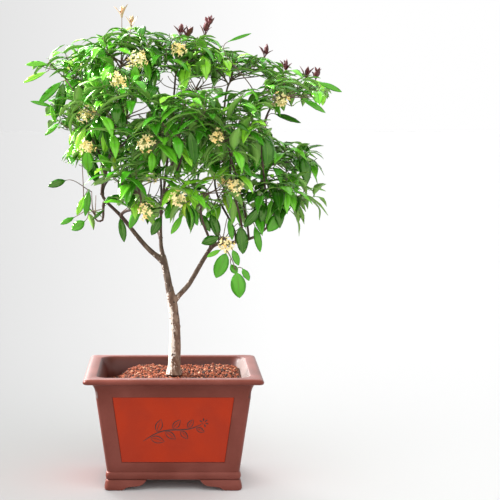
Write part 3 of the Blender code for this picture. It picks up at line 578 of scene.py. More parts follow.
def panel_block(name, side, shrink, back, front, finishes=()):
    """A plate on one wall. Side 0 is the front, then right, back and left."""
    points = []
    low, high = PANEL_BOTTOM + shrink, PANEL_TOP - shrink
    for depth in (back, front):
        for height, sign in ((low, -1), (low, 1), (high, 1), (high, -1)):
            reach = wall_half(side, height)[0] - PANEL_MARGIN - shrink
            points.append(on_wall(side, sign * reach, height, depth))
    faces = [(0, 3, 2, 1), (4, 5, 6, 7), (0, 1, 5, 4), (1, 2, 6, 5), (2, 3, 7, 6), (3, 0, 4, 7)]
    return piece(name, points, faces, finishes)


# %% The pot with its pockets
LAMP_FACING = -0.6  # inner faces that turn more to the left than this, as the x of their normal, take painted light


def clay_of(face):
    """Which clay a face of the pot shows: inside the lip, a darker clay as painted shade, or a paler one as
    painted light on the side that the lamp lights.
    """
    x, y, z = face.center
    edge = LIP_WIDTH - 0.0005
    shown = WALL_TOP < z < POT_HEIGHT - 0.0003
    if not shown or abs(x) > RIM_LENGTH / 2 - edge or abs(y) > RIM_DEPTH / 2 - edge:
        return 0
    return 2 if face.normal.x < LAMP_FACING else 1


pot = piece("pot_wall", *skin(pot_rings()), [purple_clay, damp_clay, dry_clay])
cut(pot, [panel_block("pocket", side, 0, -POCKET_DEPTH, POCKET_DEPTH) for side in range(4)])
# Inside the lip the faces take painted shade, or painted light where they face the lamp.
pot.data.polygons.foreach_set("material_index", [clay_of(face) for face in pot.data.polygons])
pot.data.shade_smooth()
pot.data.set_sharp_from_angle(angle=math.radians(38))
dress(pot, "purple_clay", "pot_body")

# %% The sprig cut into the front and back panels
SPRIG_MIDDLE = 0.114
SPRIG_REACH = 0.056


def sprig_stem(share):
    """A point of the stem as (along the wall, height)."""
    u = -SPRIG_REACH + 2 * SPRIG_REACH * share
    return u, SPRIG_MIDDLE - 0.020 + 0.040 * share + 0.007 * math.sin(share * math.tau * 0.9)


def sprig_strokes():
    """Each stroke as points and a width: the stem, then leaves of two arcs and a rib, then buds."""
    strokes = [([sprig_stem(k / 18) for k in range(19)], 1.25)]
    for number in range(7):
        share = 0.10 + 0.125 * number
        x, z = sprig_stem(share)
        ahead_x, ahead_z = sprig_stem(share + 0.02)
        heading = math.atan2(ahead_z - z, ahead_x - x) + (0.85 if number % 2 else -0.85)
        length = 0.027 - 0.0016 * number
        for bulge, width in ((0.24, 1.0), (-0.24, 0.8), (0.03, 0.55)):
            points = []
            reach = length if abs(bulge) > 0.1 else length * 0.8
            for k in range(11):
                t = k / 10
                run, off = 0.003 + reach * t, bulge * length * math.sin(math.pi * t ** 0.85)
                points.append((x + run * math.cos(heading) - off * math.sin(heading),
                               z + run * math.sin(heading) + off * math.cos(heading)))
            strokes.append((points, width))
    for number in range(5):
        x, z = sprig_stem(1)
        turn = math.radians(-70 + 55 * number)
        points = [(x + (0.003 + 0.006 * t) * math.cos(turn), z + (0.003 + 0.006 * t) * math.sin(turn))
                  for t in (0, 0.33, 0.67, 1)]
        strokes.append((points, 1.3))
    return strokes


print("strokes of the sprig:", len(sprig_strokes()))


# %% Cutting the sprigs
GROOVE_WIDTH = 0.0010
GROOVE_DEPTH = 0.0009


def groove(side, points, width):
    """A tube with a diamond section along a stroke, half sunk in the panel's face."""
    rings = []
    last = len(points) - 1
    for k, (u, v) in enumerate(points):
        before, after = points[max(k - 1, 0)], points[min(k + 1, last)]
        run = math.hypot(after[0] - before[0], after[1] - before[1])
        across = (-(after[1] - before[1]) / run, (after[0] - before[0]) / run)
        swell = width * (0.25 + 0.75 * math.sin(math.pi * k / last) ** 0.6)
        half, deep = GROOVE_WIDTH * swell, GROOVE_DEPTH * swell
        rings.append([on_wall(side, u + across[0] * a, v + across[1] * a, -PANEL_SUNK + b)
                      for a, b in ((half, 0), (0, deep), (-half, 0), (0, -deep))])
    return skin(rings)


def cut_sprig(panel, side):
    """Cuts all strokes into one panel."""
    cutters = []
    for points, width in sprig_strokes():
        cutter = piece("stroke", *groove(side, points, width), [red_clay, dark_slip])
        face_outwards(cutter)
        # every face of a stroke takes the dark finish, painted shade that the groove keeps
        cutter.data.polygons.foreach_set("material_index", [1] * len(cutter.data.polygons))
        cutters.append(cutter)
    cut(panel, cutters, "MANIFOLD")


for side, where in enumerate(SIDES_OF_POT):
    panel = panel_block("inlaid_panel_" + where, side, GAP, -POCKET_DEPTH + GAP, -PANEL_SUNK,
                        [red_clay, dark_slip])
    soften = panel.modifiers.new("edge", "BEVEL")
    soften.width = PANEL_EDGE
    soften.segments = 3
    settle(panel)
    if where in ("front", "back"):
        cut_sprig(panel, side)
    panel.data.shade_flat()
    dress(panel, "red_clay", "panel_" + where)

# %% [markdown]
# ## The feet
#
# The pot stands on four bracket feet, one under each corner. From the side each one is a small cloud:
# a flat toe, a round bulge, and a second curve that runs up into the arch. A foot starts as an L-shaped
# block with a slight belly, lofted from four plans. Two blocks with the curve as their outline then cut
# the arch out of its long and its short leg.

# %% Feet
LEG_LONG = 0.076
LEG_SHORT = 0.058
LEG_THICKNESS = 0.014
FOOT_CURVE = (  # underside of a leg, as shares of its length and of the foot's height
    (0.38, 0), (0.44, 0.10), (0.52, 0.31), (0.62, 0.38), (0.80, 0.45), (0.90, 0.60), (0.96, 0.80), (1, 1),
)
FOOT_BULGE = 0.0025
CURVE_STEPS = 4


def foot_outline(leg):
    """The arched underside of one leg, as (distance from the corner, height)."""
    knots = [Vector((leg * run, (FOOT_HEIGHT - GAP) * rise)) for run, rise in FOOT_CURVE]
    outline = [tuple(knots[0])]
    for k in range(len(knots) - 1):
        before, a, b, after = knots[max(k - 1, 0)], knots[k], knots[k + 1], knots[min(k + 2, len(knots) - 1)]
        for step in range(1, CURVE_STEPS + 1):
            t = step / CURVE_STEPS
            swing = (a - before) * (1 - t) - (after - b) * t + (b - a) * (2 * t - 1)
            point = a.lerp(b, t) + swing * (t * (1 - t) / 2)
            outline.append((point.x, max(0.0, point.y)))
    return outline


def arch_cutter(corner, sign, leg, along_x):
    """A block across one leg with the arch as its outline."""
    outline = foot_outline(leg)
    outline = [(outline[0][0], -0.002)] + outline
    outline += [(leg + 0.002, outline[-1][1]), (leg + 0.002, -0.002)]
    rings = []
    for across in (-LEG_THICKNESS * 1.6, LEG_THICKNESS * 1.6):
        rings.append([(corner[0] - sign * run, corner[1] + across, z) if along_x
                      else (corner[0] + across, corner[1] - sign * run, z) for run, z in outline])
    cutter = piece("arch", *skin(rings), [])
    face_outwards(cutter)
    return cutter


print("points of a leg's arch:", len(foot_outline(LEG_LONG)))


# %% Four bracket feet
def build_foot(name, sign_x, sign_y):
    """The foot under one corner, which the two signs give."""
    half_x = RIM_LENGTH / 2 - WALL_FOOT_INSET + PLINTH_STEP
    half_y = RIM_DEPTH / 2 - WALL_FOOT_INSET + PLINTH_STEP
    inner_x, inner_y = half_x - LEG_THICKNESS, half_y - LEG_THICKNESS
    rings = []
    for share in (0, 0.06, 0.2, 0.4, 0.6, 0.8, 0.94, 1):
        z = share * (FOOT_HEIGHT - GAP)
        out = FOOT_BULGE * math.sin(math.pi * share ** 0.6) - 0.001 * share
        out -= 0.0008 * (share in (0, 1))
        outer = []
        for step in range(CORNER_STEPS + 1):
            turn = math.pi / 2 * step / CORNER_STEPS
            outer.append((half_x - OUTER_CORNER + (OUTER_CORNER + out) * math.cos(turn),
                          half_y - OUTER_CORNER + (OUTER_CORNER + out) * math.sin(turn)))
        plan = [(half_x + out, half_y - LEG_SHORT)] + outer
        plan += [(half_x - LEG_LONG, half_y + out), (half_x - LEG_LONG, inner_y), (inner_x, inner_y),
                 (inner_x, half_y - LEG_SHORT)]
        rings.append([(sign_x * x, sign_y * y, z) for x, y in plan])
    foot = piece(name, *skin(rings), [purple_clay])
    face_outwards(foot)
    corner = (sign_x * half_x, sign_y * half_y)
    cut(foot, [arch_cutter(corner, sign_x, LEG_LONG, True), arch_cutter(corner, sign_y, LEG_SHORT, False)])
    foot.data.shade_smooth()
    foot.data.set_sharp_from_angle(angle=math.radians(35))
    return foot


for where, sign_x, sign_y in (("front_left", -1, -1), ("front_right", 1, -1),
                              ("back_right", 1, 1), ("back_left", -1, 1)):
    dress(build_foot("bracket_foot_" + where, sign_x, sign_y), "purple_clay", "foot_" + where)

# %% [markdown]
# ## The soil
#
# The tree grows in a gritty mix of fired clay granules, heaped round the trunk and towards the right,
# and lower in the left end, where the wall shades it. A dark mound carries the heap's shape. Thousands
# of small uneven stones are strewn on it. Each is an icosahedron with its corners pushed in and out, in
# one of four plain colours, and all of them are one mesh.

# %% Soil
SOIL_RIM = 0.190
HEAP_FROM = -0.56  # share of the half width where the heap starts
HEAP_STEEPNESS = 28
LOW_END = 0.013  # how far under the soil's rim the low end lies
MOUND_GRID = (66, 44)
MOUND_BOTTOM = 0.150

soil_bed = finish("soil_bed", (0.16, 0.055, 0.030), 0.95)
roughen(soil_bed, 500, 0.001)


def soil_height(x, y):
    """The heap: highest behind and to the right of the trunk, low in the left end."""
    across, back = x / (RIM_LENGTH / 2), y / (RIM_DEPTH / 2)
    heap = 1 / (1 + math.exp(-(across - HEAP_FROM) * HEAP_STEEPNESS))
    humps = math.exp(-((across + 0.30) / 0.12) ** 2) + math.exp(-((across - 0.48) / 0.16) ** 2)
    crest = 0.016 + 0.006 * max(0.0, min(1.0, 0.5 + back)) + 0.003 * humps
    ripple = 0.0028 * noise.noise((x * 26, y * 26, 3.0)) + 0.0014 * noise.noise((x * 70, y * 70, 9.0))
    edge = max(abs(across) / 0.80, abs(back) / 0.74)
    fall = 0.005 * max(0.0, edge - 0.80) / 0.2
    return SOIL_RIM - LOW_END + heap * crest + ripple - fall


def soil_mound():
    """A grid that fills the pot to the heap, with a flat underside."""
    inset = inner_inset(SOIL_RIM) + GAP
    half_x, half_y = RIM_LENGTH / 2 - inset, RIM_DEPTH / 2 - inset
    columns, rows = MOUND_GRID
    points, faces = [], []
    for row in range(rows + 1):
        for column in range(columns + 1):
            x, y = half_x * (2 * column / columns - 1), half_y * (2 * row / rows - 1)
            points.append((x, y, soil_height(x, y)))
    wide = columns + 1
    for row in range(rows):
        for column in range(columns):
            a = row * wide + column
            faces.append((a, a + 1, a + 1 + wide, a + wide))
    border = [k for k in range(wide)] + [row * wide + columns for row in range(1, rows + 1)]
    border += [rows * wide + k for k in range(columns - 1, -1, -1)]
    border += [row * wide for row in range(rows - 1, 0, -1)]
    low = len(points)
    points += [(points[k][0] * 0.97, points[k][1] * 0.97, MOUND_BOTTOM) for k in border]
    count = len(border)
    faces += [(border[(k + 1) % count], border[k], low + k, low + (k + 1) % count) for k in range(count)]
    faces.append(tuple(low + k for k in reversed(range(count))))
    return points, faces


mound = piece("soil_mound", *soil_mound(), [soil_bed])
dress(mound, "soil_grit", "soil")


# %% Strewn stones
GRAIN_STEP = 0.0034
GRAIN_SIZE = (0.0015, 0.0034)
TRUNK_ROOM = 0.010  # no stones this near the trunk's middle
SEED = 1207  # of all random numbers
GRAINS = {  # colour, and how many of the stones have it
    "grit_orange": ((0.36, 0.098, 0.044), 0.39),
    "grit_brick": ((0.22, 0.053, 0.025), 0.29),
    "grit_pale": ((0.60, 0.30, 0.18), 0.07),
    "grit_dark": ((0.045, 0.018, 0.012), 0.25),
}
GRAIN_FINISHES = [finish(name, colour, 0.9) for name, (colour, _) in GRAINS.items()]


def stone_template():
    """Points and faces of an icosahedron."""
    ball = bmesh.new()
    bmesh.ops.create_icosphere(ball, subdivisions=1, radius=1)
    points = [v.co.copy() for v in ball.verts]
    faces = [tuple(v.index for v in f.verts) for f in ball.faces]
    ball.free()
    return points, faces


def strewn_stones():
    """Stones on a loose grid over the heap."""
    heap = Heap()
    ball, faces = stone_template()
    draw = random.Random(SEED)
    inset = inner_inset(SOIL_RIM) + 0.0025
    half_x, half_y = RIM_LENGTH / 2 - inset, RIM_DEPTH / 2 - inset
    for row in range(int(2 * half_y / GRAIN_STEP)):
        for column in range(int(2 * half_x / GRAIN_STEP)):
            x = -half_x + GRAIN_STEP * (column + 0.5 * (row % 2)) + draw.uniform(-1, 1) * GRAIN_STEP * 0.5
            y = -half_y + GRAIN_STEP * row + draw.uniform(-1, 1) * GRAIN_STEP * 0.5
            size = draw.uniform(*GRAIN_SIZE) * (1.35 if draw.random() < 0.12 else 1)
            kind = draw.choices(range(len(GRAINS)), [share for _, share in GRAINS.values()])[0]
            place = Vector((x, y, soil_height(x, y) + size * draw.uniform(0.1, 0.7)))
            turn = Matrix.Rotation(draw.uniform(0, math.tau), 3, (draw.random(), draw.random(), 0.5))
            flat = Vector((1, draw.uniform(0.6, 0.95), draw.uniform(0.5, 0.85)))
            if abs(x) > half_x or abs(y) > half_y or math.hypot(x, y) < TRUNK_ROOM:
                continue
            points = []
            for corner in ball:
                pushed = corner * (size * draw.uniform(0.72, 1.12))
                points.append(place + turn @ Vector(a * b for a, b in zip(pushed, flat)))
            heap.add(points, faces, kind)
    return heap


stones = strewn_stones()
grit = piece("soil_stones", stones.points, stones.faces, GRAIN_FINISHES, stones.which, sharp=20)
dress(grit, "soil_grit")

# %% [markdown]
# ## How the tree grows
#
# The measured model was grown by a rule, and the same rule is written here again, so that every twig
# of the finished tree starts where the model's did. The trunk and the three main boughs are smooth
# curves through a few points. The crown is a set of masses of foliage, each with a middle and a size.
# A bough runs from its limb to each mass, one stem carries on from the bough's tip into the mass, and
# shoots spread from that stem. Seeded random numbers vary every step, and they come out the same on
# each run.
#
# The model stops at its first shoots. Here they branch once more, into side twigs with smaller leaves
# in greater number, because a living crown is made of many small things.

# %% The trunk, the main boughs and the masses
TRUNK_POINTS = (
    (0.0015, 0, 0.2003), (0.0035, 0, 0.252), (0.0028, 0.001, 0.305), (-0.0025, 0, 0.345),
    (-0.0088, 0.001, 0.374), (-0.0142, 0.001, 0.4027), (-0.0200, 0, 0.4275),
)
TRUNK_RADII = (  # at shares of its length
    (0, 0.0155), (0.06, 0.0122), (0.20, 0.0106), (0.45, 0.0097), (0.61, 0.0088), (0.74, 0.0068), (1, 0.0062),
)
LEFT_POINTS = (
    (-0.0180, 0, 0.4165), (-0.0262, -0.001, 0.4235), (-0.046, -0.003, 0.4405), (-0.065, -0.004, 0.462),
    (-0.0975, -0.008, 0.503), (-0.1300, -0.018, 0.538), (-0.132, -0.024, 0.565), (-0.122, -0.030, 0.600),
    (-0.108, -0.040, 0.680), (-0.100, -0.045, 0.765),
)
CENTRE_POINTS = (
    (-0.0182, 0, 0.4205), (-0.0215, 0.001, 0.438), (-0.0232, 0.002, 0.455), (-0.023, 0.006, 0.505),
    (-0.012, 0.008, 0.600), (-0.002, 0.004, 0.690), (0.004, 0.000, 0.762),
)
RIGHT_POINTS = (
    (-0.001, 0, 0.338), (0.0155, -0.001, 0.3570), (0.0315, -0.002, 0.376), (0.0577, -0.006, 0.4215),
    (0.078, -0.008, 0.449), (0.109, -0.008, 0.453), (0.152, -0.006, 0.4635), (0.185, -0.006, 0.488),
)
TIP_RADIUS = 0.0019
BRANCH_RADIUS = 0.0034
MAIN_LIMBS = {
    "main_bough_left": (LEFT_POINTS, 0.0054),
    "main_bough_centre": (CENTRE_POINTS, 0.0042),
    "main_bough_right": (RIGHT_POINTS, 0.0050),
}
LEFT, CENTRE, RIGHT = MAIN_LIMBS

# For each mass: its limb, where on the limb its bough starts (None at the limb's own tip), its
# middle, its half sizes and its first shoots
MASSES = {
    "top_left": (LEFT, 0.66, (-0.200, 0.088, 0.762), (0.092, 0.106, 0.060), 5),
    "top_middle_left": (LEFT, None, (-0.090, -0.020, 0.815), (0.095, 0.100, 0.080), 6),
    "top_middle": (CENTRE, None, (0.015, -0.015, 0.800), (0.095, 0.100, 0.078), 5),
    "top_middle_right": (RIGHT, 0.80, (0.120, 0.010, 0.780), (0.095, 0.100, 0.075), 5),
    "top_right": (RIGHT, 0.92, (0.212, -0.115, 0.738), (0.100, 0.105, 0.052), 5),
    "top_back_left": (LEFT, 0.74, (-0.095, 0.154, 0.765), (0.110, 0.100, 0.075), 5),
    "top_back_right": (CENTRE, 0.60, (0.050, 0.148, 0.765), (0.110, 0.100, 0.075), 5),
    "left": (LEFT, 0.54, (-0.172, -0.055, 0.678), (0.082, 0.095, 0.070), 5),
    "front_left": (LEFT, 0.62, (-0.095, -0.150, 0.710), (0.100, 0.100, 0.080), 5),
    "front": (CENTRE, 0.45, (0.012, -0.174, 0.690), (0.100, 0.100, 0.085), 5),
    "front_right": (RIGHT, 0.74, (0.125, -0.145, 0.670), (0.100, 0.100, 0.085), 5),
    "right": (RIGHT, 0.96, (0.205, 0.060, 0.620), (0.095, 0.105, 0.080), 5),
    "back_left": (LEFT, 0.44, (-0.150, 0.125, 0.640), (0.090, 0.105, 0.080), 5),
    "back": (CENTRE, 0.26, (-0.030, 0.161, 0.630), (0.105, 0.100, 0.085), 5),
    "back_right": (RIGHT, 0.70, (0.100, 0.170, 0.620), (0.105, 0.088, 0.085), 5),
    "middle": (CENTRE, 0.36, (0.020, 0.000, 0.665), (0.105, 0.100, 0.085), 5),
    "low_left": (LEFT, 0.40, (-0.165, -0.005, 0.528), (0.072, 0.085, 0.062), 4),
    "low_front_left": (LEFT, 0.30, (-0.070, -0.115, 0.580), (0.090, 0.095, 0.075), 5),
    "low_front_right": (RIGHT, 0.50, (0.060, -0.130, 0.570), (0.095, 0.095, 0.075), 5),
    "low_back": (CENTRE, 0.12, (-0.055, 0.100, 0.540), (0.095, 0.095, 0.075), 5),
    "low_back_right": (RIGHT, 0.58, (0.085, 0.060, 0.535), (0.090, 0.090, 0.070), 4),
    "low_right": (RIGHT, None, (0.196, -0.030, 0.552), (0.090, 0.095, 0.075), 5),
    "hanging": (RIGHT, 0.64, (0.108, -0.058, 0.426), (0.042, 0.048, 0.068), 3),
}
HANGING = "hanging"
print("masses of foliage:", len(MASSES))

# %% [markdown]
# ### Curves
#
# Four small functions do all the drawing. `spline` runs a smooth line through points, `bend` runs one
# between two points with a given direction at each end, `even` spaces a line's points evenly, and
# `along` finds a place on it.

# %% Lines that bend like wood
LIMB_STEP = 0.003  # between points
TWIG_STEP = 0.006
FINE_STEPS = 24  # between two knots, before the points are spaced evenly


def even(line, step):
    """The same line with its points an even distance apart."""
    lengths = [0.0]
    for a, b in zip(line, line[1:]):
        lengths.append(lengths[-1] + (b - a).length)
    count = max(2, round(lengths[-1] / step) + 1)
    made, seat = [], 0
    for k in range(count):
        want = lengths[-1] * k / (count - 1)
        while seat < len(line) - 2 and lengths[seat + 1] < want:
            seat += 1
        span = lengths[seat + 1] - lengths[seat]
        made.append(line[seat].lerp(line[seat + 1], (want - lengths[seat]) / span if span else 0))
    return made


def spline(points, step):
    """A smooth line through the points."""
    knots = [Vector(p) for p in points]
    knots = [knots[0] * 2 - knots[1]] + knots + [knots[-1] * 2 - knots[-2]]
    fine = []
    for a, b, c, d in zip(knots, knots[1:], knots[2:], knots[3:]):
        for k in range(FINE_STEPS):
            t = k / FINE_STEPS
            fine.append(0.5 * (2 * b + (c - a) * t + (2 * a - 5 * b + 4 * c - d) * t * t
                               + (3 * b - a - 3 * c + d) * t ** 3))
    fine.append(knots[-2])
    return even(fine, step)


def bend(start, leaves, end, arrives, step):
    """A smooth line from start, along leaves at first, to end, along arrives at last."""
    reach = (end - start).length
    a, b = leaves.normalized() * reach, arrives.normalized() * reach
    fine = []
    for k in range(FINE_STEPS + 1):
        t = k / FINE_STEPS
        fine.append(start * (2 * t ** 3 - 3 * t * t + 1) + a * (t ** 3 - 2 * t * t + t)
                    + end * (3 * t * t - 2 * t ** 3) + b * (t ** 3 - t * t))
    return even(fine, step)


def along(line, share):
    """The point and direction at a share of a line."""
    seat = min(int(share * (len(line) - 1)), len(line) - 2)
    rest = share * (len(line) - 1) - seat
    return line[seat].lerp(line[seat + 1], rest), (line[seat + 1] - line[seat]).normalized()


def taper(count, base, tip, power=0.8):
    """Radii from base to tip."""
    return [base + (tip - base) * (k / (count - 1)) ** power for k in range(count)]


SLANT = Vector((0.31, 0.17, 0.93))  # no limb points this way


def around(axis, turn):
    """A direction square to the axis, at a turn round it."""
    flat = axis.cross(SLANT).normalized()
    return flat * math.cos(turn) + axis.cross(flat) * math.sin(turn)


print("points of a bough's line:", len(spline(LEFT_POINTS, LIMB_STEP)))


# %% [markdown]
# ### Limbs
#
# A limb keeps its line and its radii. It also keeps a row of points close together, so that a later
# test can tell how far a leaf is from its bark.

# %% Limbs
BOUGH_INWARD = 0.16  # share of the way to the trunk by which a bough ends short of its mass's middle
BOUGH_BELOW = 0.55  # how far below it ends, as a share of the mass's half height
BOUGH_SLOPE = 0.35  # how much of its rise a bough takes as it leaves its limb
BOUGH_WIDTH = 0.85  # of its limb's radius


class Limb:
    """A line of wood with its radii, and both again as arrays for the tests of room."""
    def __init__(self, line, radii):
        self.line, self.radii = line, radii
        self.points = np.array([tuple(p) for p in line])
        self.thick = np.array(radii)


class Mass:
    """A mass of foliage, read from its row of the table."""
    def __init__(self, name, number):
        self.name, self.number = name, number
        self.carrier, self.share, centre, half, self.shoots = MASSES[name]
        self.centre, self.half = Vector(centre), Vector(half)
        self.up = -1 if name == HANGING else 1


def main_limbs():
    """The trunk and the main boughs, by name."""
    line = spline(TRUNK_POINTS, LIMB_STEP)
    shares, radii = zip(*TRUNK_RADII)
    widths = np.interp(np.linspace(0, 1, len(line)), shares, radii)
    limbs = {"trunk": Limb(line, [float(r) for r in widths])}
    for name, (points, base) in MAIN_LIMBS.items():
        line = spline(points, LIMB_STEP)
        limbs[name] = Limb(line, taper(len(line), base, TIP_RADIUS))
    return limbs


def grow_bough(mass, limbs):
    """The bough leaves its limb outwards and turns up to its mass, or down where the mass hangs."""
    limb = limbs[mass.carrier]
    start, heading = along(limb.line, mass.share)
    inward = Vector((-mass.centre.x, -mass.centre.y, 0)) * BOUGH_INWARD
    end = mass.centre + inward - Vector((0, 0, BOUGH_BELOW * mass.up * mass.half.z))
    out = end - start
    flat = Vector((out.x, out.y, out.z * BOUGH_SLOPE)).normalized()
    leaves = flat + heading * 0.35 + Vector((0, 0, 0.25))
    arrives = (mass.centre - end).normalized() + out.normalized() * 0.6
    line = bend(start, leaves, end, arrives, LIMB_STEP)
    thick = limb.radii[0] + (limb.radii[-1] - limb.radii[0]) * mass.share
    return Limb(line, taper(len(line), min(BRANCH_RADIUS, thick * BOUGH_WIDTH), TIP_RADIUS))


masses = [Mass(name, number) for number, name in enumerate(MASSES)]
limbs = main_limbs()
for mass in masses:
    if mass.share is not None:
        limbs["bough_" + mass.name] = grow_bough(mass, limbs)
print("limbs:", len(limbs), "with", round(sum(len(limb.line) for limb in limbs.values()) * LIMB_STEP, 1), "m")

# %% [markdown]
# ### What shows from the front
#
# Some things have a place of their own on this plant: its clusters of blossom, the young red shoots at
# its top, the leafy tips at its edge, its outline, and the holes where sky shows through. They are given
# as they are seen from the front, most with a depth beside them, and two functions turn a seen place
# into a place in space and back.

# %% Blossom, young shoots, outline and sky
VIEW_DISTANCE = 2.62
VIEW_HEIGHT = 0.6825
BLOOMS = (
    (-0.104, 0.758, -0.175), (-0.051, 0.641, -0.190), (0.009, 0.534, -0.175), (0.082, 0.651, -0.190),
    (0.117, 0.560, -0.150), (0.202, 0.722, -0.110), (0.100, 0.449, -0.085), (0.009, 0.815, -0.060),
    (-0.163, 0.694, -0.120), (-0.063, 0.798, -0.105), (-0.053, 0.511, -0.140), (-0.163, 0.634, -0.130),
)
YOUNG_SHOOTS = (
    (-0.078, 0.863, 0.000), (0.014, 0.845, 0.000), (0.060, 0.847, 0.000), (0.173, 0.806, 0.000),
    (0.211, 0.778, -0.030), (0.250, 0.766, -0.040), (-0.096, 0.880, -0.006), (0.068, 0.862, 0.004),
    (0.027, 0.842, 0.005), (0.269, 0.764, -0.045),
)
EDGE_SHOOTS = (  # leafy tips that show at the crown's edge and round its holes
    (-0.263, 0.783, 0.040), (-0.233, 0.800, 0.050), (-0.202, 0.813, 0.050), (-0.097, 0.847, -0.020),
    (-0.066, 0.849, -0.010), (-0.029, 0.838, -0.010), (-0.183, 0.643, -0.040), (-0.193, 0.617, -0.020),
    (0.126, 0.732, -0.140), (0.160, 0.734, -0.120), (-0.104, 0.537, -0.090), (0.111, 0.811, -0.010),
)
BACK_BLOOMS_FROM = 0.05  # depth of the masses that have blossom at the back
BACK_BLOOMS_TO = 0.15  # and how far right they go
SKY_GAPS = (  # x, z, half width and half height
    (-0.107, 0.492, 0.020, 0.026), (-0.010, 0.753, 0.013, 0.015), (0.128, 0.754, 0.036, 0.007),
    (-0.207, 0.648, 0.009, 0.014), (-0.010, 0.428, 0.056, 0.036), (0.250, 0.666, 0.055, 0.014),
    (-0.202, 0.530, 0.026, 0.022), (-0.146, 0.539, 0.009, 0.018), (-0.038, 0.556, 0.014, 0.008),
    (0.079, 0.550, 0.009, 0.012), (-0.117, 0.554, 0.009, 0.006), (-0.061, 0.702, 0.007, 0.010),
    (0.051, 0.751, 0.020, 0.006), (0.175, 0.694, 0.007, 0.007), (-0.087, 0.791, 0.018, 0.003),
)
GAP_MARGIN = 0.003
CROWN_OUTLINE = (  # x and z, from the left tip over the top, and back under the hanging leaves
    (-0.284, 0.749), (-0.280, 0.783), (-0.248, 0.798), (-0.219, 0.821), (-0.185, 0.830), (-0.153, 0.842),
    (-0.131, 0.847), (-0.114, 0.861), (-0.061, 0.862), (-0.038, 0.853), (-0.002, 0.844), (0.036, 0.845),
    (0.081, 0.840), (0.102, 0.819), (0.121, 0.813), (0.151, 0.809), (0.183, 0.800), (0.213, 0.789),
    (0.245, 0.774), (0.287, 0.760), (0.315, 0.741), (0.296, 0.724), (0.279, 0.700), (0.251, 0.707),
    (0.224, 0.711), (0.209, 0.696), (0.187, 0.677), (0.189, 0.654), (0.241, 0.647), (0.336, 0.628),
    (0.336, 0.533), (0.308, 0.479), (0.170, 0.435), (0.147, 0.342), (0.068, 0.342), (0.049, 0.439),
    (-0.006, 0.462), (-0.089, 0.450), (-0.117, 0.473), (-0.165, 0.469), (-0.204, 0.469), (-0.206, 0.497),
    (-0.185, 0.509), (-0.185, 0.530), (-0.168, 0.549), (-0.168, 0.586), (-0.191, 0.600), (-0.210, 0.605),
    (-0.210, 0.632), (-0.195, 0.643), (-0.197, 0.666), (-0.217, 0.666), (-0.238, 0.654), (-0.248, 0.677),
    (-0.240, 0.696), (-0.238, 0.707), (-0.257, 0.707), (-0.259, 0.722), (-0.236, 0.738), (-0.214, 0.749),
    (-0.202, 0.760), (-0.217, 0.766), (-0.242, 0.762), (-0.265, 0.757),
)
BLOOM_RADIUS = 0.019
BLOOM_ROOM = 0.9  # share of it that leaves keep out of
BLOOM_SIGHT = 0.8  # and in front of


def front_view(points):
    """Where points are seen from the front against the plane of the trunk, as rows of x and z."""
    spots = np.asarray(points)
    scale = VIEW_DISTANCE / (VIEW_DISTANCE + spots[:, 1])
    return np.stack([spots[:, 0] * scale, VIEW_HEIGHT + (spots[:, 2] - VIEW_HEIGHT) * scale], 1)


def from_front(x, z, y):
    """The place at depth y that is seen at x and z against the plane of the trunk."""
    scale = (VIEW_DISTANCE + y) / VIEW_DISTANCE
    return Vector((x * scale, y, VIEW_HEIGHT + (z - VIEW_HEIGHT) * scale))


def in_gap(points):
    """True if one of the points is seen in a hole of sky."""
    seen = front_view(points)
    return any((np.abs(seen - (x, z)) < (half_x + GAP_MARGIN, half_z + GAP_MARGIN)).all(1).any()
               for x, z, half_x, half_z in SKY_GAPS)


def in_outline(points):
    """True if all the points are seen within the crown's outline."""
    x, z = front_view(points).T
    inside = np.zeros(len(x), bool)
    for (ax, az), (bx, bz) in zip(CROWN_OUTLINE, CROWN_OUTLINE[1:] + CROWN_OUTLINE[:1]):
        inside ^= ((az > z) != (bz > z)) & (x < ax + (z - az) / (bz - az) * (bx - ax))
    return inside.all()


print("clusters:", len(BLOOMS), "young shoots:", len(YOUNG_SHOOTS), "holes of sky:", len(SKY_GAPS))


# %% [markdown]
# ### Keeping clear
#
# A twig or leaf is kept only where there is room for it. It must stay within the crown's outline, its
# mass's reach and the box of the measured model, off every limb, and out of the holes of sky.

# %% Room for twigs and leaves
MASS_REACH = 1.30  # of its half sizes
DRAWN_REACH = 1.22
TALL = 1.25  # by this much heights count for more than widths
LIMB_CLEAR = 0.0022
BOX_SLACK = 0.006  # a leaf's tip may pass the measured model's box by this much
box_low = np.array(cad_box[0]) - BOX_SLACK
box_high = np.array(cad_box[1]) + BOX_SLACK


def nearness(points, mass):
    """Least in the mass that a point belongs to."""
    apart = (np.asarray(points) - np.array(mass.centre)) * (1, 1, TALL)
    return (apart ** 2).sum(1) - mass.half.x ** 2


def owner(place):
    """The mass that a place belongs to."""
    return min(masses, key=lambda mass: nearness([tuple(place)], mass)[0])


def in_reach(points, mass, share=MASS_REACH):
    """True if all the points are within the mass's reach and the model's box."""
    spots = np.array([tuple(p) for p in points])
    if (spots < box_low).any() or (spots > box_high).any():
        return False
    return (((spots - np.array(mass.centre)) / (np.array(mass.half) * share)) ** 2).sum(1).max() < 1


def off_limbs(points, wood, clear):
    """True if no point is within a clearance of the wood."""
    spots = np.array([tuple(p) for p in points]).reshape(-1, 3)
    for limb in wood:
        low, high = limb.points.min(0) - 0.02, limb.points.max(0) + 0.02
        near = spots[((spots > low) & (spots < high)).all(1)]
        if len(near):
            apart = np.linalg.norm(near[:, None] - limb.points[None], axis=2) - limb.thick[None]
            if apart.min() < clear:
                return False
    return True


# %% [markdown]
# ### Shoots
#
# The stem of a mass carries its first shoots. Those that bear blossom or young leaves go to their own
# places, and the rest spread by the golden angle, which keeps them evenly apart at any number. Then
# each shoot branches into side twigs, and further shoots fill the mass's edge.

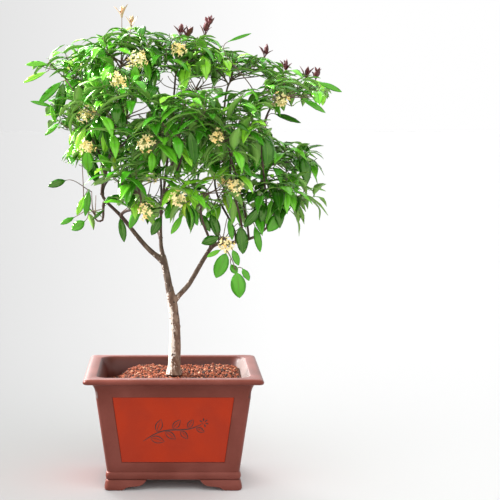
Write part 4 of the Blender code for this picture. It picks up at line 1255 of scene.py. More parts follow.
# %% Shoots and side twigs
GOLDEN_TURN = math.radians(137.5)
STEM_FOOT = 0.004
SHOOT_REACH = 0.56  # share of the mass's half sizes that the first shoots fill
TWIG_RADIUS = 0.0014
EXTRA_SHOOTS = 6
EXTRA_REACH = 0.80  # the same for further shoots
THIN_MASSES = {  # further shoots, where fewer
    "hanging": 0, "low_left": 0, "left": 3, "low_back": 1, "low_back_right": 1, "low_front_left": 2,
    "low_front_right": 2, "low_right": 2, "back": 4, "back_left": 4, "back_right": 4,
}
LOW_MASS = 0.59  # below this height a mass is more open
SIDE_TWIGS = 3
SIDE_LENGTH = (0.028, 0.050)
FIRST_PAIR = 0.004  # how far below the tip the first pair of leaves sits
YOUNG_FIRST_PAIR = 0.017


class Shoot:
    """A twig with the kind of thing that it carries at its end."""
    def __init__(self, line, kind, seed, pairs, base=TWIG_RADIUS, parent=None):
        self.line, self.kind, self.seed, self.pairs, self.base = line, kind, seed, pairs, base
        self.parent = parent
        self.first_pair = YOUNG_FIRST_PAIR if kind == "young" else FIRST_PAIR
        self.length = sum((b - a).length for a, b in zip(line, line[1:]))


def grow_stem(mass):
    """The stem that carries on from its bough's tip into the middle of the mass."""
    bough = limbs[mass.carrier] if mass.share is None else limbs["bough_" + mass.name]
    tip, heading = along(bough.line, 1)
    start = tip + heading * GAP
    hub = mass.centre * 0.5 + start * 0.5 + Vector((0, 0, 0.06 * mass.up * mass.half.z))
    line = bend(start + heading * STEM_FOOT, heading, hub, heading + Vector((0, 0, 0.5 * mass.up)), TWIG_STEP)
    return [tip - heading * 0.002, start] + line, bough


def seed_of(mass, use, number):
    """A random seed of its own for each thing of a mass. Each use has its own range."""
    return SEED * 1000 * use + mass.number * 40 + number


def drawn_in(end, mass):
    """The place nearest to this one, towards the mass's middle, that is in the mass's reach."""
    for _ in range(12):
        if in_reach([end], mass, DRAWN_REACH):
            break
        end = end.lerp(mass.centre, 0.08)
    return end


def spread(mass, k, count, reach_limit, seed):
    """The end of the shoot with number k, by the golden angle."""
    draw = random.Random(seed)
    turn = k * GOLDEN_TURN + draw.uniform(-0.3, 0.3)
    reach = reach_limit * math.sqrt((k + 0.35) / count) + draw.uniform(-0.04, 0.04)
    lift = mass.up * (0.50 - 0.65 * reach + draw.uniform(-0.08, 0.08))
    offset = Vector((reach * math.cos(turn), reach * math.sin(turn), lift))
    return mass.centre + Vector(a * b for a, b in zip(offset, mass.half))


def shoot_ends(mass):
    """Ends and kinds of a mass's first shoots, as in the measured model."""
    ends = []
    for kind, places in (("bloom", BLOOMS), ("young", YOUNG_SHOOTS)):
        for place in places:
            end = from_front(*place)
            if owner(end) is mass:
                ends.append((drawn_in(end, mass), kind))
    for k in range(len(ends), mass.shoots):
        end = spread(mass, k, mass.shoots, SHOOT_REACH, seed_of(mass, 1, k))
        behind = k == 0 and mass.centre.y > BACK_BLOOMS_FROM and mass.centre.x < BACK_BLOOMS_TO
        ends.append((end, "bloom" if behind else "leaf"))
    return ends


print("first shoots:", sum(mass.shoots for mass in masses))


# %% Growing the shoots
def grow_shoots(mass):
    """The stem of a mass, and its shoots that have room."""
    stem, bough = grow_stem(mass)
    others = [limb for limb in limbs.values() if limb is not bough]
    ends = [(end, kind, 0 if mass.name == HANGING else 4) for end, kind in shoot_ends(mass)]
    for k in range(THIN_MASSES.get(mass.name, EXTRA_SHOOTS)):
        seed = seed_of(mass, 2, k)
        ends.append((spread(mass, k + 4, EXTRA_SHOOTS + 4, EXTRA_REACH, seed), "leaf", 3))
    ends += [(drawn_in(end, mass), "leaf", 4) for end in (from_front(*place) for place in EDGE_SHOOTS)
             if owner(end) is mass]
    shoots = []
    for k, (end, kind, pairs) in enumerate(ends):
        seat, heading = along(stem, 0.95 - 0.5 * (k / mass.shoots if k < mass.shoots else (k * 0.37) % 1))
        out = end - seat
        arrives = out.normalized() * 0.6 + Vector((0, 0, mass.up))
        line = bend(seat, out + heading * 0.02, end, arrives, TWIG_STEP)
        if kind == "leaf" and not in_outline(line[2:]):
            continue
        if in_reach(line, mass) and off_limbs(line[3:], others, LIMB_CLEAR):
            shoots.append(Shoot(line, kind, seed_of(mass, 1, k), pairs))
    return stem, shoots


def grow_side_twigs(mass, shoots):
    """Side twigs turn outwards from each shoot and lift towards the light."""
    made = []
    for shoot in shoots:
        draw = random.Random(shoot.seed * 7)
        for k in range(0 if mass.name == HANGING else SIDE_TWIGS - (mass.centre.z < LOW_MASS)):
            seat, heading = along(shoot.line, 0.30 + 0.20 * k + draw.uniform(-0.05, 0.05))
            turn = draw.uniform(0, math.tau) / SIDE_TWIGS + k * GOLDEN_TURN
            lean = math.radians(draw.uniform(42, 62))
            way = heading * math.cos(lean) + around(heading, turn) * math.sin(lean)
            end = seat + way * draw.uniform(*SIDE_LENGTH) + Vector((0, 0, 0.006 * mass.up))
            line = bend(seat, way, end, way + Vector((0, 0, 1.2 * mass.up)), TWIG_STEP)
            if in_gap(line[2:]) or not in_outline(line):
                continue
            if in_reach(line, mass) and off_limbs(line[1:], limbs.values(), LIMB_CLEAR):
                made.append(Shoot(line, "leaf", shoot.seed * 31 + k, 2, TWIG_RADIUS * 0.75, shoot))
    return made


stems, shoots = {}, {}
for mass in masses:
    stems[mass.name], first = grow_shoots(mass)
    shoots[mass.name] = first + grow_side_twigs(mass, first)
print("shoots and side twigs:", sum(len(found) for found in shoots.values()))

# %% [markdown]
# ### Blossom comes before leaves
#
# A cluster of blossom sits at a shoot's tip. It takes its place first, and then no leaf may touch it or
# stand in front of it.

# %% Places of the blossom
def grow_blooms(mass):
    """The middle, axis and seed of each cluster."""
    blooms = []
    for shoot in shoots[mass.name]:
        if shoot.kind == "bloom":
            end, axis = along(shoot.line, 1)
            blooms.append((end, axis, shoot.seed))
    return blooms


blooms = [bloom for mass in masses for bloom in grow_blooms(mass)]
bloom_places = np.array([tuple(middle) for middle, _, _ in blooms])
bloom_views = front_view(bloom_places)


def hides_bloom(points):
    """True if the points meet blossom, or stand in front of it."""
    seen = front_view(points)
    apart = np.linalg.norm(points[:, None] - bloom_places[None], axis=2)
    if apart.min() < BLOOM_RADIUS * BLOOM_ROOM:
        return True
    near = np.linalg.norm(seen[:, None] - bloom_views[None], axis=2) < BLOOM_RADIUS * BLOOM_SIGHT
    before = points[:, 1][:, None] < bloom_places[:, 1][None]
    return bool((near & before & (bloom_places[:, 1] < 0)[None]).any())


print("clusters of blossom:", len(blooms))

# %% [markdown]
# ### Leaves
#
# Leaves come in opposite pairs, and each pair is turned a quarter from the last one. The pair at the
# tip stands up most, and the lower ones lie flat or hang. A leaf that has no room is turned and
# shrunk a little and tried again, and after four tries it is left out. Only its root, its middle line
# and its edges are tested here. The true shape comes later. The leaves that stand out most, at the
# crown's tips and its lower edge, have places of their own and come first. A tree sheds a twig that no
# longer bears leaves, so shoots that got none are dropped at the end.

# %% Leaves as places
LEAF_LENGTH = (0.050, 0.070)
LEAF_SLIMNESS = (0.30, 0.41)  # width by length
LEAF_WAIST = 0.45  # share of the length where it is widest
LEAF_BEND = (20, 64)  # degrees by which it arches over
LEAF_LEAN = (48, 70, 86)  # degrees from the shoot, by pair
LEAF_LEVEL = 0.55  # how much of its rise it keeps
LEAF_ACROSS = 0.72  # and of its way forwards or back
LEAF_SAG = 0.06
SAG_BELOW = 0.62  # a leaf below this height hangs more
SAG_GROWTH = (0.0, 0.85)  # by this much for each metre
HANGING_LEAVES = {  # root x and z and tip x and z as seen from the front, depth, width by length, finish
    "hanging": (
        (0.101, 0.435, 0.082, 0.385, -0.078, 0.50, 1), (0.120, 0.399, 0.128, 0.347, -0.082, 0.58, 1),
        (0.131, 0.404, 0.145, 0.381, -0.068, 0.50, 1), (0.109, 0.412, 0.121, 0.394, -0.072, 0.62, 1),
        (0.112, 0.440, 0.125, 0.410, -0.090, 0.42, 1), (0.126, 0.486, 0.134, 0.431, -0.050, 0.44, 0),
        (0.087, 0.463, 0.054, 0.452, -0.060, 0.50, 0), (0.154, 0.486, 0.167, 0.435, -0.040, 0.28, 1),
        (0.070, 0.509, 0.087, 0.463, -0.045, 0.42, 0), (0.049, 0.509, 0.071, 0.475, -0.055, 0.42, 0),
        (0.090, 0.439, 0.064, 0.426, -0.070, 0.30, 2), (0.105, 0.499, 0.113, 0.458, -0.050, 0.32, 1),
    ),
    "low_right": (
        (0.209, 0.512, 0.179, 0.474, -0.060, 0.50, 1), (0.165, 0.520, 0.134, 0.482, -0.070, 0.36, 0),
        (0.187, 0.537, 0.177, 0.488, -0.050, 0.30, 2),
    ),
    "low_front_left": (
        (-0.101, 0.501, -0.092, 0.454, -0.080, 0.32, 0), (-0.064, 0.524, -0.082, 0.480, -0.100, 0.34, 1),
        (-0.099, 0.583, -0.093, 0.543, -0.095, 0.45, 1), (-0.099, 0.543, -0.127, 0.531, -0.080, 0.40, 0),
    ),
    "low_front_right": (
        (-0.023, 0.503, -0.041, 0.467, -0.080, 0.44, 0), (0.017, 0.505, -0.004, 0.469, -0.085, 0.30, 2),
        (0.003, 0.530, -0.014, 0.499, -0.110, 0.62, 1), (0.030, 0.526, 0.047, 0.486, -0.100, 0.42, 1),
    ),
    "low_left": (
        (-0.202, 0.571, -0.236, 0.560, -0.010, 0.42, 0), (-0.159, 0.554, -0.166, 0.503, -0.050, 0.27, 1),
        (-0.168, 0.541, -0.182, 0.505, -0.045, 0.32, 3), (-0.167, 0.494, -0.192, 0.477, -0.035, 0.62, 1),
        (-0.187, 0.501, -0.213, 0.488, -0.020, 0.34, 1), (-0.131, 0.515, -0.153, 0.497, -0.020, 0.22, 0),
        (-0.166, 0.624, -0.142, 0.566, -0.060, 0.38, 0),
    ),
    "left": (
        (-0.206, 0.757, -0.219, 0.688, -0.070, 0.30, 0), (-0.227, 0.709, -0.268, 0.721, -0.060, 0.18, 1),
        (-0.231, 0.713, -0.221, 0.679, -0.080, 0.26, 2), (-0.165, 0.671, -0.183, 0.630, -0.110, 0.36, 3),
        (-0.189, 0.641, -0.200, 0.611, -0.080, 0.25, 3), (-0.214, 0.679, -0.242, 0.656, -0.050, 0.26, 2),
        (-0.208, 0.757, -0.255, 0.715, -0.055, 0.24, 1),
    ),
    "top_left": (
        (-0.236, 0.789, -0.276, 0.789, 0.040, 0.28, 2), (-0.238, 0.774, -0.282, 0.755, 0.030, 0.22, 3),
    ),
    "top_right": (
        (0.102, 0.830, 0.145, 0.847, -0.100, 0.13, 1), (0.241, 0.724, 0.287, 0.700, -0.135, 0.22, 1),
        (0.270, 0.755, 0.317, 0.739, -0.135, 0.22, 1),
    ),
    "right": (
        (0.190, 0.696, 0.241, 0.681, -0.020, 0.22, 0),
    ),
}
HANGING_BEND = 14
HANGING_LEAN = 0.012  # how far such a leaf's tip comes forwards
HANGING_TWIG = 0.012  # how long its twig is at best
LEAF_NUDGE = 0.6  # radians by which a new try may turn
LEAF_TRIES = 4
LEAF_SHRINK = 0.91
LEAF_CLEAR = 0.0030  # the least room between leaves
PAIR_STEP = 0.010  # from one pair to the next
MIDDLE_SHARES = (0.25, 0.5, 0.75, 1.0)  # where a leaf is tested, on each half
print("leaves with a place of their own:", sum(map(len, HANGING_LEAVES.values())))


# %% A leaf, and the room round it
class Leaf:
    """A leaf as its root, its waist, its tip, its width, and the directions of its side and its face."""
    def __init__(self, root, heading, face, length, slimness, bend_angle, spray=0, tone=None):
        self.root, self.spray, self.tone = root, spray, tone
        self.side = heading.cross(face).normalized()
        self.face = self.side.cross(heading).normalized()
        self.heading, self.length, self.width, self.bend = heading, length, length * slimness, bend_angle
        self.waist = root + heading * (LEAF_WAIST * length)
        beyond = heading * math.cos(bend_angle) - self.face * math.sin(bend_angle)
        self.tip = self.waist + beyond * ((1 - LEAF_WAIST) * length)

    def samples(self):
        spots = []
        for share in MIDDLE_SHARES:
            for middle, width in ((self.root.lerp(self.waist, share), self.width * share),
                                  (self.waist.lerp(self.tip, share), self.width * (1 - share))):
                spots += [tuple(middle + self.side * (width / 2 * k)) for k in (-1, 0, 1)]
        return np.array(spots)


def leaf_on(shoot, pair, half_turn, draw, trial):
    """The leaf at one side of a pair."""
    root, axis = along(shoot.line, 1 - (shoot.first_pair + PAIR_STEP * pair) / shoot.length)
    turn = random.Random(shoot.seed).uniform(0, math.pi) + math.pi * half_turn + math.pi / 2 * pair
    lean = math.radians(LEAF_LEAN[min(pair, 2)] + draw.uniform(-9, 9))
    length = draw.uniform(*LEAF_LENGTH) * (0.85 if pair == 0 else 1)
    droop = math.radians(draw.uniform(*LEAF_BEND))
    if trial:
        turn += draw.uniform(-LEAF_NUDGE, LEAF_NUDGE)
        length *= LEAF_SHRINK ** trial
    heading = axis * math.cos(lean) + around(axis, turn) * math.sin(lean)
    sag = LEAF_SAG + draw.uniform(*SAG_GROWTH) * max(0.0, SAG_BELOW - root.z)
    heading = Vector((heading.x, heading.y * LEAF_ACROSS, heading.z * LEAF_LEVEL - sag)).normalized()
    face = Vector((0, 0, 1)) - heading * heading.z
    if face.length < 0.3:
        face = axis - heading * axis.dot(heading)
    return Leaf(root, heading, face, length, draw.uniform(*LEAF_SLIMNESS), droop, shoot.seed)


class Room:
    """Remembers the leaves so far, and says whether the next one has room among them."""
    def __init__(self):
        self.middles, self.samples = np.zeros((0, 3)), []

    def free(self, leaf, mass):
        spots = leaf.samples()
        if not in_reach(spots, mass) or not in_outline(spots) or in_gap(spots) or hides_bloom(spots):
            return False
        if not off_limbs(spots, limbs.values(), LIMB_CLEAR):
            return False
        near = np.linalg.norm(self.middles - np.array(leaf.waist), axis=1) < leaf.length * 1.3
        if not near.any():
            return True
        others = np.concatenate([self.samples[k] for k in np.flatnonzero(near)])
        return np.linalg.norm(spots[3:, None] - others[None], axis=2).min() > LEAF_CLEAR

    def take(self, leaf):
        self.middles = np.vstack([self.middles, np.array(leaf.waist)])
        self.samples.append(leaf.samples())


# %% Growing the leaves
def hang_leaves(mass, room):
    """The leaves with a place of their own, each on a twig from the nearest wood of its mass."""
    hung = []
    wood = [(point, None) for point in stems[mass.name][2:]]
    wood += [(point, shoot) for shoot in shoots[mass.name] for point in shoot.line[2:]]
    for number, row in enumerate(HANGING_LEAVES.get(mass.name, ())):
        root_x, root_z, tip_x, tip_z, depth, slimness, tone = row
        root, tip = from_front(root_x, root_z, depth), from_front(tip_x, tip_z, depth - HANGING_LEAN)
        seat, parent = min(wood, key=lambda place: abs((place[0] - root).length - HANGING_TWIG))
        twig = bend(seat, root - seat, root, tip - root, TWIG_STEP)
        seed = seed_of(mass, 3, number)
        shoots[mass.name].append(Shoot(twig, "bare", seed, 0, TWIG_RADIUS * 0.75, parent))
        heading = (tip - root).normalized()
        leaf = Leaf(root, heading, Vector((0.2, -1, 0.3)), (tip - root).length, slimness,
                    math.radians(HANGING_BEND), seed, tone)
        hung.append(leaf)
        room.take(leaf)
    return hung


def grow_leaves(mass, room):
    """The leaves of a mass that have room."""
    leaves = []
    for shoot in shoots[mass.name]:
        for pair in range(shoot.pairs):
            if (shoot.first_pair + PAIR_STEP * pair) / shoot.length > 0.85:
                break
            for half_turn in (0, 1):
                draw = random.Random(shoot.seed * 100 + pair * 2 + half_turn)
                for trial in range(LEAF_TRIES):
                    leaf = leaf_on(shoot, pair, half_turn, draw, trial)
                    if room.free(leaf, mass):
                        leaves.append(leaf)
                        room.take(leaf)
                        break
    return leaves


def bearing(found, grown):
    """The shoots that carry something: leaves, blossom, or a shoot that does."""
    sprays = {leaf.spray for leaf in grown}
    kept = {shoot for shoot in found if shoot.kind != "leaf" or shoot.seed in sprays}
    kept |= {shoot.parent for shoot in kept if shoot.parent}
    return [shoot for shoot in found if shoot in kept]


room = Room()
hung = {mass.name: hang_leaves(mass, room) for mass in masses}
leaves = {mass.name: hung[mass.name] + grow_leaves(mass, room) for mass in masses}
shoots = {mass.name: bearing(shoots[mass.name], leaves[mass.name]) for mass in masses}
print("leaves:", sum(len(found) for found in leaves.values()))
print("shoots that carry something:", sum(len(found) for found in shoots.values()))

# %% [markdown]
# ## Bark
#
# Sweet osmanthus has thin bark, browner above the first fork and marked by small scars and knots. Low
# down a pale finish lies on it: lichen in patches by noise, and more of it on the side that faces the
# lamp, which is painted light. High up, inside the crown, the bark is darker, which is painted shade.
# The trunk and the three main boughs flow into each other, which a single tube can't do. So a tube is
# made for each, and a voxel remesh melts them into one skin. Then every point is pushed in or out by
# noise drawn out along the wood, and knots are raised in a few places. The finishes are dealt out face
# by face: by height, by the side that a face turns to, and by noise. The thinner boughs are round tubes,
# a little uneven, with their feet sunk in, and all of them have the painted shade.

# %% Bark finishes
bark = finish("bark", (0.150, 0.082, 0.053), 0.85)
mottle(bark, (0.27, 0.180, 0.128), 110, 0.46, 0.62, stretch=(1, 1, 0.45))
mottle(bark, (0.100, 0.056, 0.037), 170, 0.54, 0.66, stretch=(1, 1, 0.30))
# Pale lichen, which also goes on the lamp's side as painted light.
lichen = finish("lichen", (0.71, 0.62, 0.54), 0.9)
mottle(lichen, (0.47, 0.37, 0.30), 240, 0.54, 0.66)
scar = finish("bark_scar", (0.050, 0.028, 0.020), 0.9)
# Dark bark for the wood high up inside the crown: painted shade.
young_bark = finish("young_bark", (0.075, 0.040, 0.030), 0.8)
mottle(young_bark, (0.130, 0.085, 0.062), 150, 0.52, 0.66, stretch=(1, 1, 0.45))
limb_bark = finish("limb_bark", (0.098, 0.060, 0.041), 0.85)
mottle(limb_bark, (0.185, 0.128, 0.092), 110, 0.48, 0.64, stretch=(1, 1, 0.45))
BARKS = (bark, lichen, scar, young_bark, limb_bark)
for wood_finish in BARKS:
    roughen(wood_finish, 420, 0.0006, stretch=(1, 1, 0.35))
    roughen(wood_finish, 1500, 0.0003, detail=2)
print("bark finishes:", [made.name for made in BARKS])


# %% Tubes of wood
VOXEL = 0.0010  # size of the remesh's cells


def tube(line, radii, sides):
    """A closed skin round a line. Its rings turn as little as they can."""
    flat = (line[1] - line[0]).orthogonal().normalized()
    rings = []
    for k, point in enumerate(line):
        turned = (line[min(k + 1, len(line) - 1)] - line[max(k - 1, 0)]).normalized()
        flat = (flat - turned * flat.dot(turned)).normalized()
        other = turned.cross(flat)
        turns = [math.tau * i / sides for i in range(sides)]
        rings.append([point + (flat * math.cos(t) + other * math.sin(t)) * radii[k] for t in turns])
    return skin(rings)


def collar(radii, swell, count):
    """The radii of a limb with its foot swollen where it joins its parent."""
    return [r * (1 + swell * max(0.0, 1 - k / count) ** 2) for k, r in enumerate(radii)]


def melt(name, skins):
    """Several skins as one, by a voxel remesh."""
    heap = Heap()
    for points, faces in skins:
        heap.add(points, faces)
    made = piece(name, heap.points, heap.faces, [bark])
    remesh = made.modifiers.new("melt", "REMESH")
    remesh.mode = "VOXEL"
    remesh.voxel_size = VOXEL
    smooth = made.modifiers.new("smooth", "SMOOTH")
    smooth.factor = 0.5
    smooth.iterations = 4
    settle(made)
    return made


# %% Relief and knots
KNOTS = (  # share of the trunk's height, turn round it, radius
    (0.10, 3.9, 0.0040), (0.27, 5.2, 0.0034), (0.40, 4.4, 0.0030), (0.52, 2.6, 0.0036), (0.56, 5.6, 0.0040),
    (0.72, 4.9, 0.0034), (0.85, 3.5, 0.0036), (0.95, 5.0, 0.0030),
)
KNOT_HEIGHT = 0.0013
RELIEF = (0.05, 0.07)  # fine and broad, as shares of the wood's radius
POINTS_AT_ONCE = 4000


def bark_relief(points, widths):
    """How far each point moves along its normal, by the wood's thickness there."""
    moves = []
    for (x, y, z), thick in zip(points, widths):
        long_grain = noise.noise((x * 240, y * 240, z * 70))
        broad = noise.noise((x * 45, y * 45, z * 30 + 5))
        moves.append((RELIEF[0] * long_grain + RELIEF[1] * broad) * thick)
    return moves


def knot_places():
    """Middle and radius of each knot, on the trunk's surface."""
    trunk = limbs["trunk"]
    places = []
    for share, turn, radius in KNOTS:
        at, heading = along(trunk.line, share)
        thick = trunk.radii[int(share * (len(trunk.radii) - 1))]
        places.append((at + around(heading, turn) * thick, radius))
    return places


def raise_bark(item):
    """Moves each point along its normal by the relief and the knots."""
    mesh = item.data
    count = len(mesh.vertices)
    points = np.zeros(count * 3, np.float32)
    normals = np.zeros(count * 3, np.float32)
    mesh.vertices.foreach_get("co", points)
    mesh.vertex_normals.foreach_get("vector", normals)
    points, normals = points.reshape(-1, 3), normals.reshape(-1, 3)
    wood = [limbs["trunk"]] + [limbs[name] for name in MAIN_LIMBS]
    centres = np.concatenate([limb.points for limb in wood])
    widths = np.concatenate([limb.thick for limb in wood])
    thick = np.empty(count)
    for first in range(0, count, POINTS_AT_ONCE):
        block = points[first:first + POINTS_AT_ONCE]
        apart = np.linalg.norm(block[:, None] - centres[None], axis=2)
        thick[first:first + POINTS_AT_ONCE] = widths[apart.argmin(1)]
    moves = np.array(bark_relief(points, thick))
    for middle, radius in knot_places():
        apart = np.linalg.norm(points - np.array(middle), axis=1) / radius
        moves += KNOT_HEIGHT * np.exp(-apart ** 2 * 1.6) - 0.8 * KNOT_HEIGHT * np.exp(-apart ** 2 * 14)
    foot = TRUNK_POINTS[0][2] + 0.0006
    moves[points[:, 2] < foot] = 0
    mesh.vertices.foreach_set("co", (points + normals * moves[:, None]).astype(np.float32).ravel())
    mesh.update()
    mesh.shade_smooth()


# %% Lichen and painted light, scars, and painted shade high up
LIT_SIDE_TOP = 0.345  # below this height the side that faces the lamp takes much more of the pale finish: painted light
# where noise and the lean to the lamp's side together pass this, a face is pale: lichen and painted light
LICHEN_AND_LIGHT_FROM = 0.34
SCAR_FROM = 0.50
LIMB_FROM = 0.355  # above this height the bark is browner
CROWN_SHADE_FROM = 0.492  # above this height the bark is dark, which is painted shade inside the crown
FOOT_BARE = 0.218  # below this height lichen is rare
BARK, LICHEN_AND_LIT_SIDE, SCAR, CROWN_SHADE, LIMB = range(len(BARKS))


def patch_bark(item):
    """Deals out scars, pale lichen with painted light on the lamp's side, and painted shade high up, to the
    faces by height, side and noise.
    """
    mesh = item.data
    mesh.materials.clear()
    for made in BARKS:
        mesh.materials.append(made)
    which = []
    for face in mesh.polygons:
        x, y, z = face.center
        low = max(0.0, min(1.0, (LIT_SIDE_TOP - z) / 0.06))
        # faces turned to the lamp on the left, with a low x in their normal, lean to the pale finish: painted
        # light
        lichen_and_light_liking = low * (0.12 - 1.3 * face.normal.x) - 0.34 * (1 - low) * face.normal.x
        lichen_and_light_liking -= 30 * max(0.0, FOOT_BARE - z) + 0.25 * (z > LIMB_FROM)
        coarse = noise.noise((x * 150, y * 150, z * 75 + 3))
        pale = 0.6 * (coarse + noise.noise((x * 420, y * 420, z * 260)))
        dark = noise.noise((x * 260, y * 260, z * 190 + 11))
        wobbly_height = z + 0.015 * noise.noise((x * 60, y * 60, z * 60))
        # high up the bark takes the dark finish, which is painted shade inside the crown
        kind = CROWN_SHADE if wobbly_height > CROWN_SHADE_FROM else LIMB if wobbly_height > LIMB_FROM else BARK
        if dark > SCAR_FROM:
            kind = SCAR
        elif pale + lichen_and_light_liking > LICHEN_AND_LIGHT_FROM and kind != CROWN_SHADE:
            kind = LICHEN_AND_LIT_SIDE
        which.append(kind)
    mesh.polygons.foreach_set("material_index", which)


# %% The trunk and the main boughs
TRUNK_SIDES = 24
LIMB_SIDES = 16
TRUNK_GROWTH = 1.03  # the bark stands out from the measured wood by this much
LIMB_WIDTHS = {  # shares of the length, and how thick the limb still is there
    LEFT: ((0, 0.16, 0.30, 0.5, 1), (1, 0.80, 0.62, 0.46, 0.35)),
    CENTRE: ((0, 0.16, 0.30, 1), (1, 0.78, 0.64, 0.45)),
    RIGHT: ((0, 0.55, 0.75, 1), (1, 0.78, 0.60, 0.38)),
}
skins = [tube(limbs["trunk"].line, [r * TRUNK_GROWTH for r in limbs["trunk"].radii], TRUNK_SIDES)]
for name, (_, base) in MAIN_LIMBS.items():
    line = limbs[name].line
    narrowing = np.interp(np.linspace(0, 1, len(line)), *LIMB_WIDTHS[name])
    width = [float(r) for r in narrowing * base * TRUNK_GROWTH]
    skins.append(tube(line, collar(width, 0.30, 9), LIMB_SIDES))
trunk_bark = melt("trunk_and_main_boughs", skins)
raise_bark(trunk_bark)
patch_bark(trunk_bark)
dress(trunk_bark, "bark", "trunk", *MAIN_LIMBS)

# %% The thinner boughs
BOUGH_SIDES = 10

boughs = Heap()
for mass in masses:
    if mass.share is None:
        continue
    limb = limbs["bough_" + mass.name]
    radii = [r * (1 + 0.07 * noise.noise(tuple(p * 90)) + 0.25 * max(0, 1 - k / 5) ** 2)
             for k, (r, p) in enumerate(zip(limb.radii, limb.line))]
    boughs.add(*tube(limb.line[::2] + limb.line[-1:], radii[::2] + radii[-1:], BOUGH_SIDES))
# The thinner boughs take the dark finish, painted shade inside the crown.
bough_bark = piece("bough_bark", boughs.points, boughs.faces, [young_bark], sharp=60)
dress(bough_bark, "bark", *["bough_" + mass.name for mass in masses if mass.share is not None])

# %% [markdown]
# ## Twigs
#
# Stems, shoots and side twigs are slim round tubes, joined into one mesh. The youngest wood is greener
# than the bark.

# %% Twigs
TWIG_SIDES = 5
TWIG_TIP = 0.0007
twig_bark = finish("twig_bark", (0.15, 0.095, 0.068), 0.7)
green_wood = finish("green_wood", (0.13, 0.16, 0.05), 0.6)

twigs = Heap()
for mass in masses:
    stem = stems[mass.name]
    twigs.add(*tube(stem, taper(len(stem), TIP_RADIUS, TWIG_RADIUS * 1.1), TWIG_SIDES + 1), 0)
    for shoot in shoots[mass.name]:
        line = shoot.line
        twigs.add(*tube(line, taper(len(line), shoot.base, TWIG_TIP), TWIG_SIDES), int(shoot.pairs == 2))
twig_piece = piece("twigs", twigs.points, twigs.faces, [twig_bark, green_wood], twigs.which)
dress(twig_piece, "bark")

# %% [markdown]
# ## Leaf blades
#
# A leaf of sweet osmanthus is leathery and glossy, widest just below its middle, with a drawn-out tip.
# It folds a little along its midrib and arches over under its own weight. The blade here is a grid of
# eleven rows and six columns. The two middle columns are close together and make the midrib, which has
# a paler finish. The rows are swept forward at the edges, and every second one is raised a little, so
# the side veins show in the light. The underside is plainer: a keel under the midrib with a face to each
# edge, in a pale dull finish, which makes the leaf a closed thin solid.
#
# All leaves are worked out at once with arrays, which is hundreds of times faster than one by one.
# Their greens are plain colours dealt out by spray: each shoot has its own.

# %% Leaf finishes
LEAF_SHEEN = {"Specular IOR Level": 0.90, "Specular Tint": (0.76, 1.0, 0.44, 1)}
LEAF_GLOSS = 0.19
GREENS = {  # upper side, and how often a spray has it
    "leaf_deep": ((0.018, 0.128, 0.004), 0.31),
    "leaf_green": ((0.060, 0.340, 0.012), 0.32),
    "leaf_bright": ((0.145, 0.545, 0.026), 0.27),
    "leaf_fresh": ((0.300, 0.740, 0.045), 0.10),
    "leaf_lime": ((0.460, 0.740, 0.050), 0.01),
}
leaf_finishes = [finish(name, colour, LEAF_GLOSS, LEAF_SHEEN) for name, (colour, _) in GREENS.items()]
leaf_finishes += [finish("leaf_under", (0.20, 0.42, 0.07), 0.45, LEAF_SHEEN),
                  finish("leaf_rib", (0.05, 0.20, 0.006), 0.40, LEAF_SHEEN)]
UNDERSIDE, RIB = len(GREENS), len(GREENS) + 1
print("greens:", ", ".join(GREENS))

# %% The grid of a blade
ROW_PLACES = np.array([0, 0.06, 0.12, 0.21, 0.32, 0.45, 0.58, 0.71, 0.83, 0.93, 1.0])
COLUMN_PLACES = np.array([-1, -0.5, -0.05, 0.05, 0.5, 1])
PETIOLE_END = 0.06
PETIOLE_WIDTH = 0.0016
BLADE_THICKNESS = 0.0006
RIB_THICKNESS = 0.0009
VEIN_RELIEF = 0.00045
SWEEP = 0.05
BLADE_RISING = 0.66
BLUNT_FALLING = 0.84
POINTED_FALLING = (0.95, 1.30)


def blade_width(place, falling):
    """Half the width at a place along the leaf, as a share of the widest. More falling, more pointed."""
    beyond = np.clip((place - PETIOLE_END) / (1 - PETIOLE_END), 0, 1)
    rising = BLADE_RISING
    peak = (rising / (rising + falling)) ** rising * (falling / (rising + falling)) ** falling
    return beyond ** rising * (1 - beyond) ** falling / peak


def blade_faces():
    """Faces of one leaf with their finish: 0 upper side, 1 underside, 2 midrib."""
    rows, columns = len(ROW_PLACES), len(COLUMN_PLACES)
    faces, kinds = [], []
    for i in range(rows - 1):
        near, far = i * columns, (i + 1) * columns
        for j in range(columns - 1):
            faces.append((near + j, near + j + 1, far + j + 1, far + j))
            kinds.append(2 if j == 2 else 0)
        keel, next_keel = rows * columns + i, rows * columns + i + 1
        faces.append((near, far, next_keel, keel))
        faces.append((keel, next_keel, far + columns - 1, near + columns - 1))
        kinds += [1, 1]
    for i in (0, rows - 1):
        rim = [i * columns + j for j in range(columns)] + [rows * columns + i]
        faces.append(tuple(reversed(rim)) if i == 0 else tuple(rim))
        kinds.append(1)
    return faces, kinds


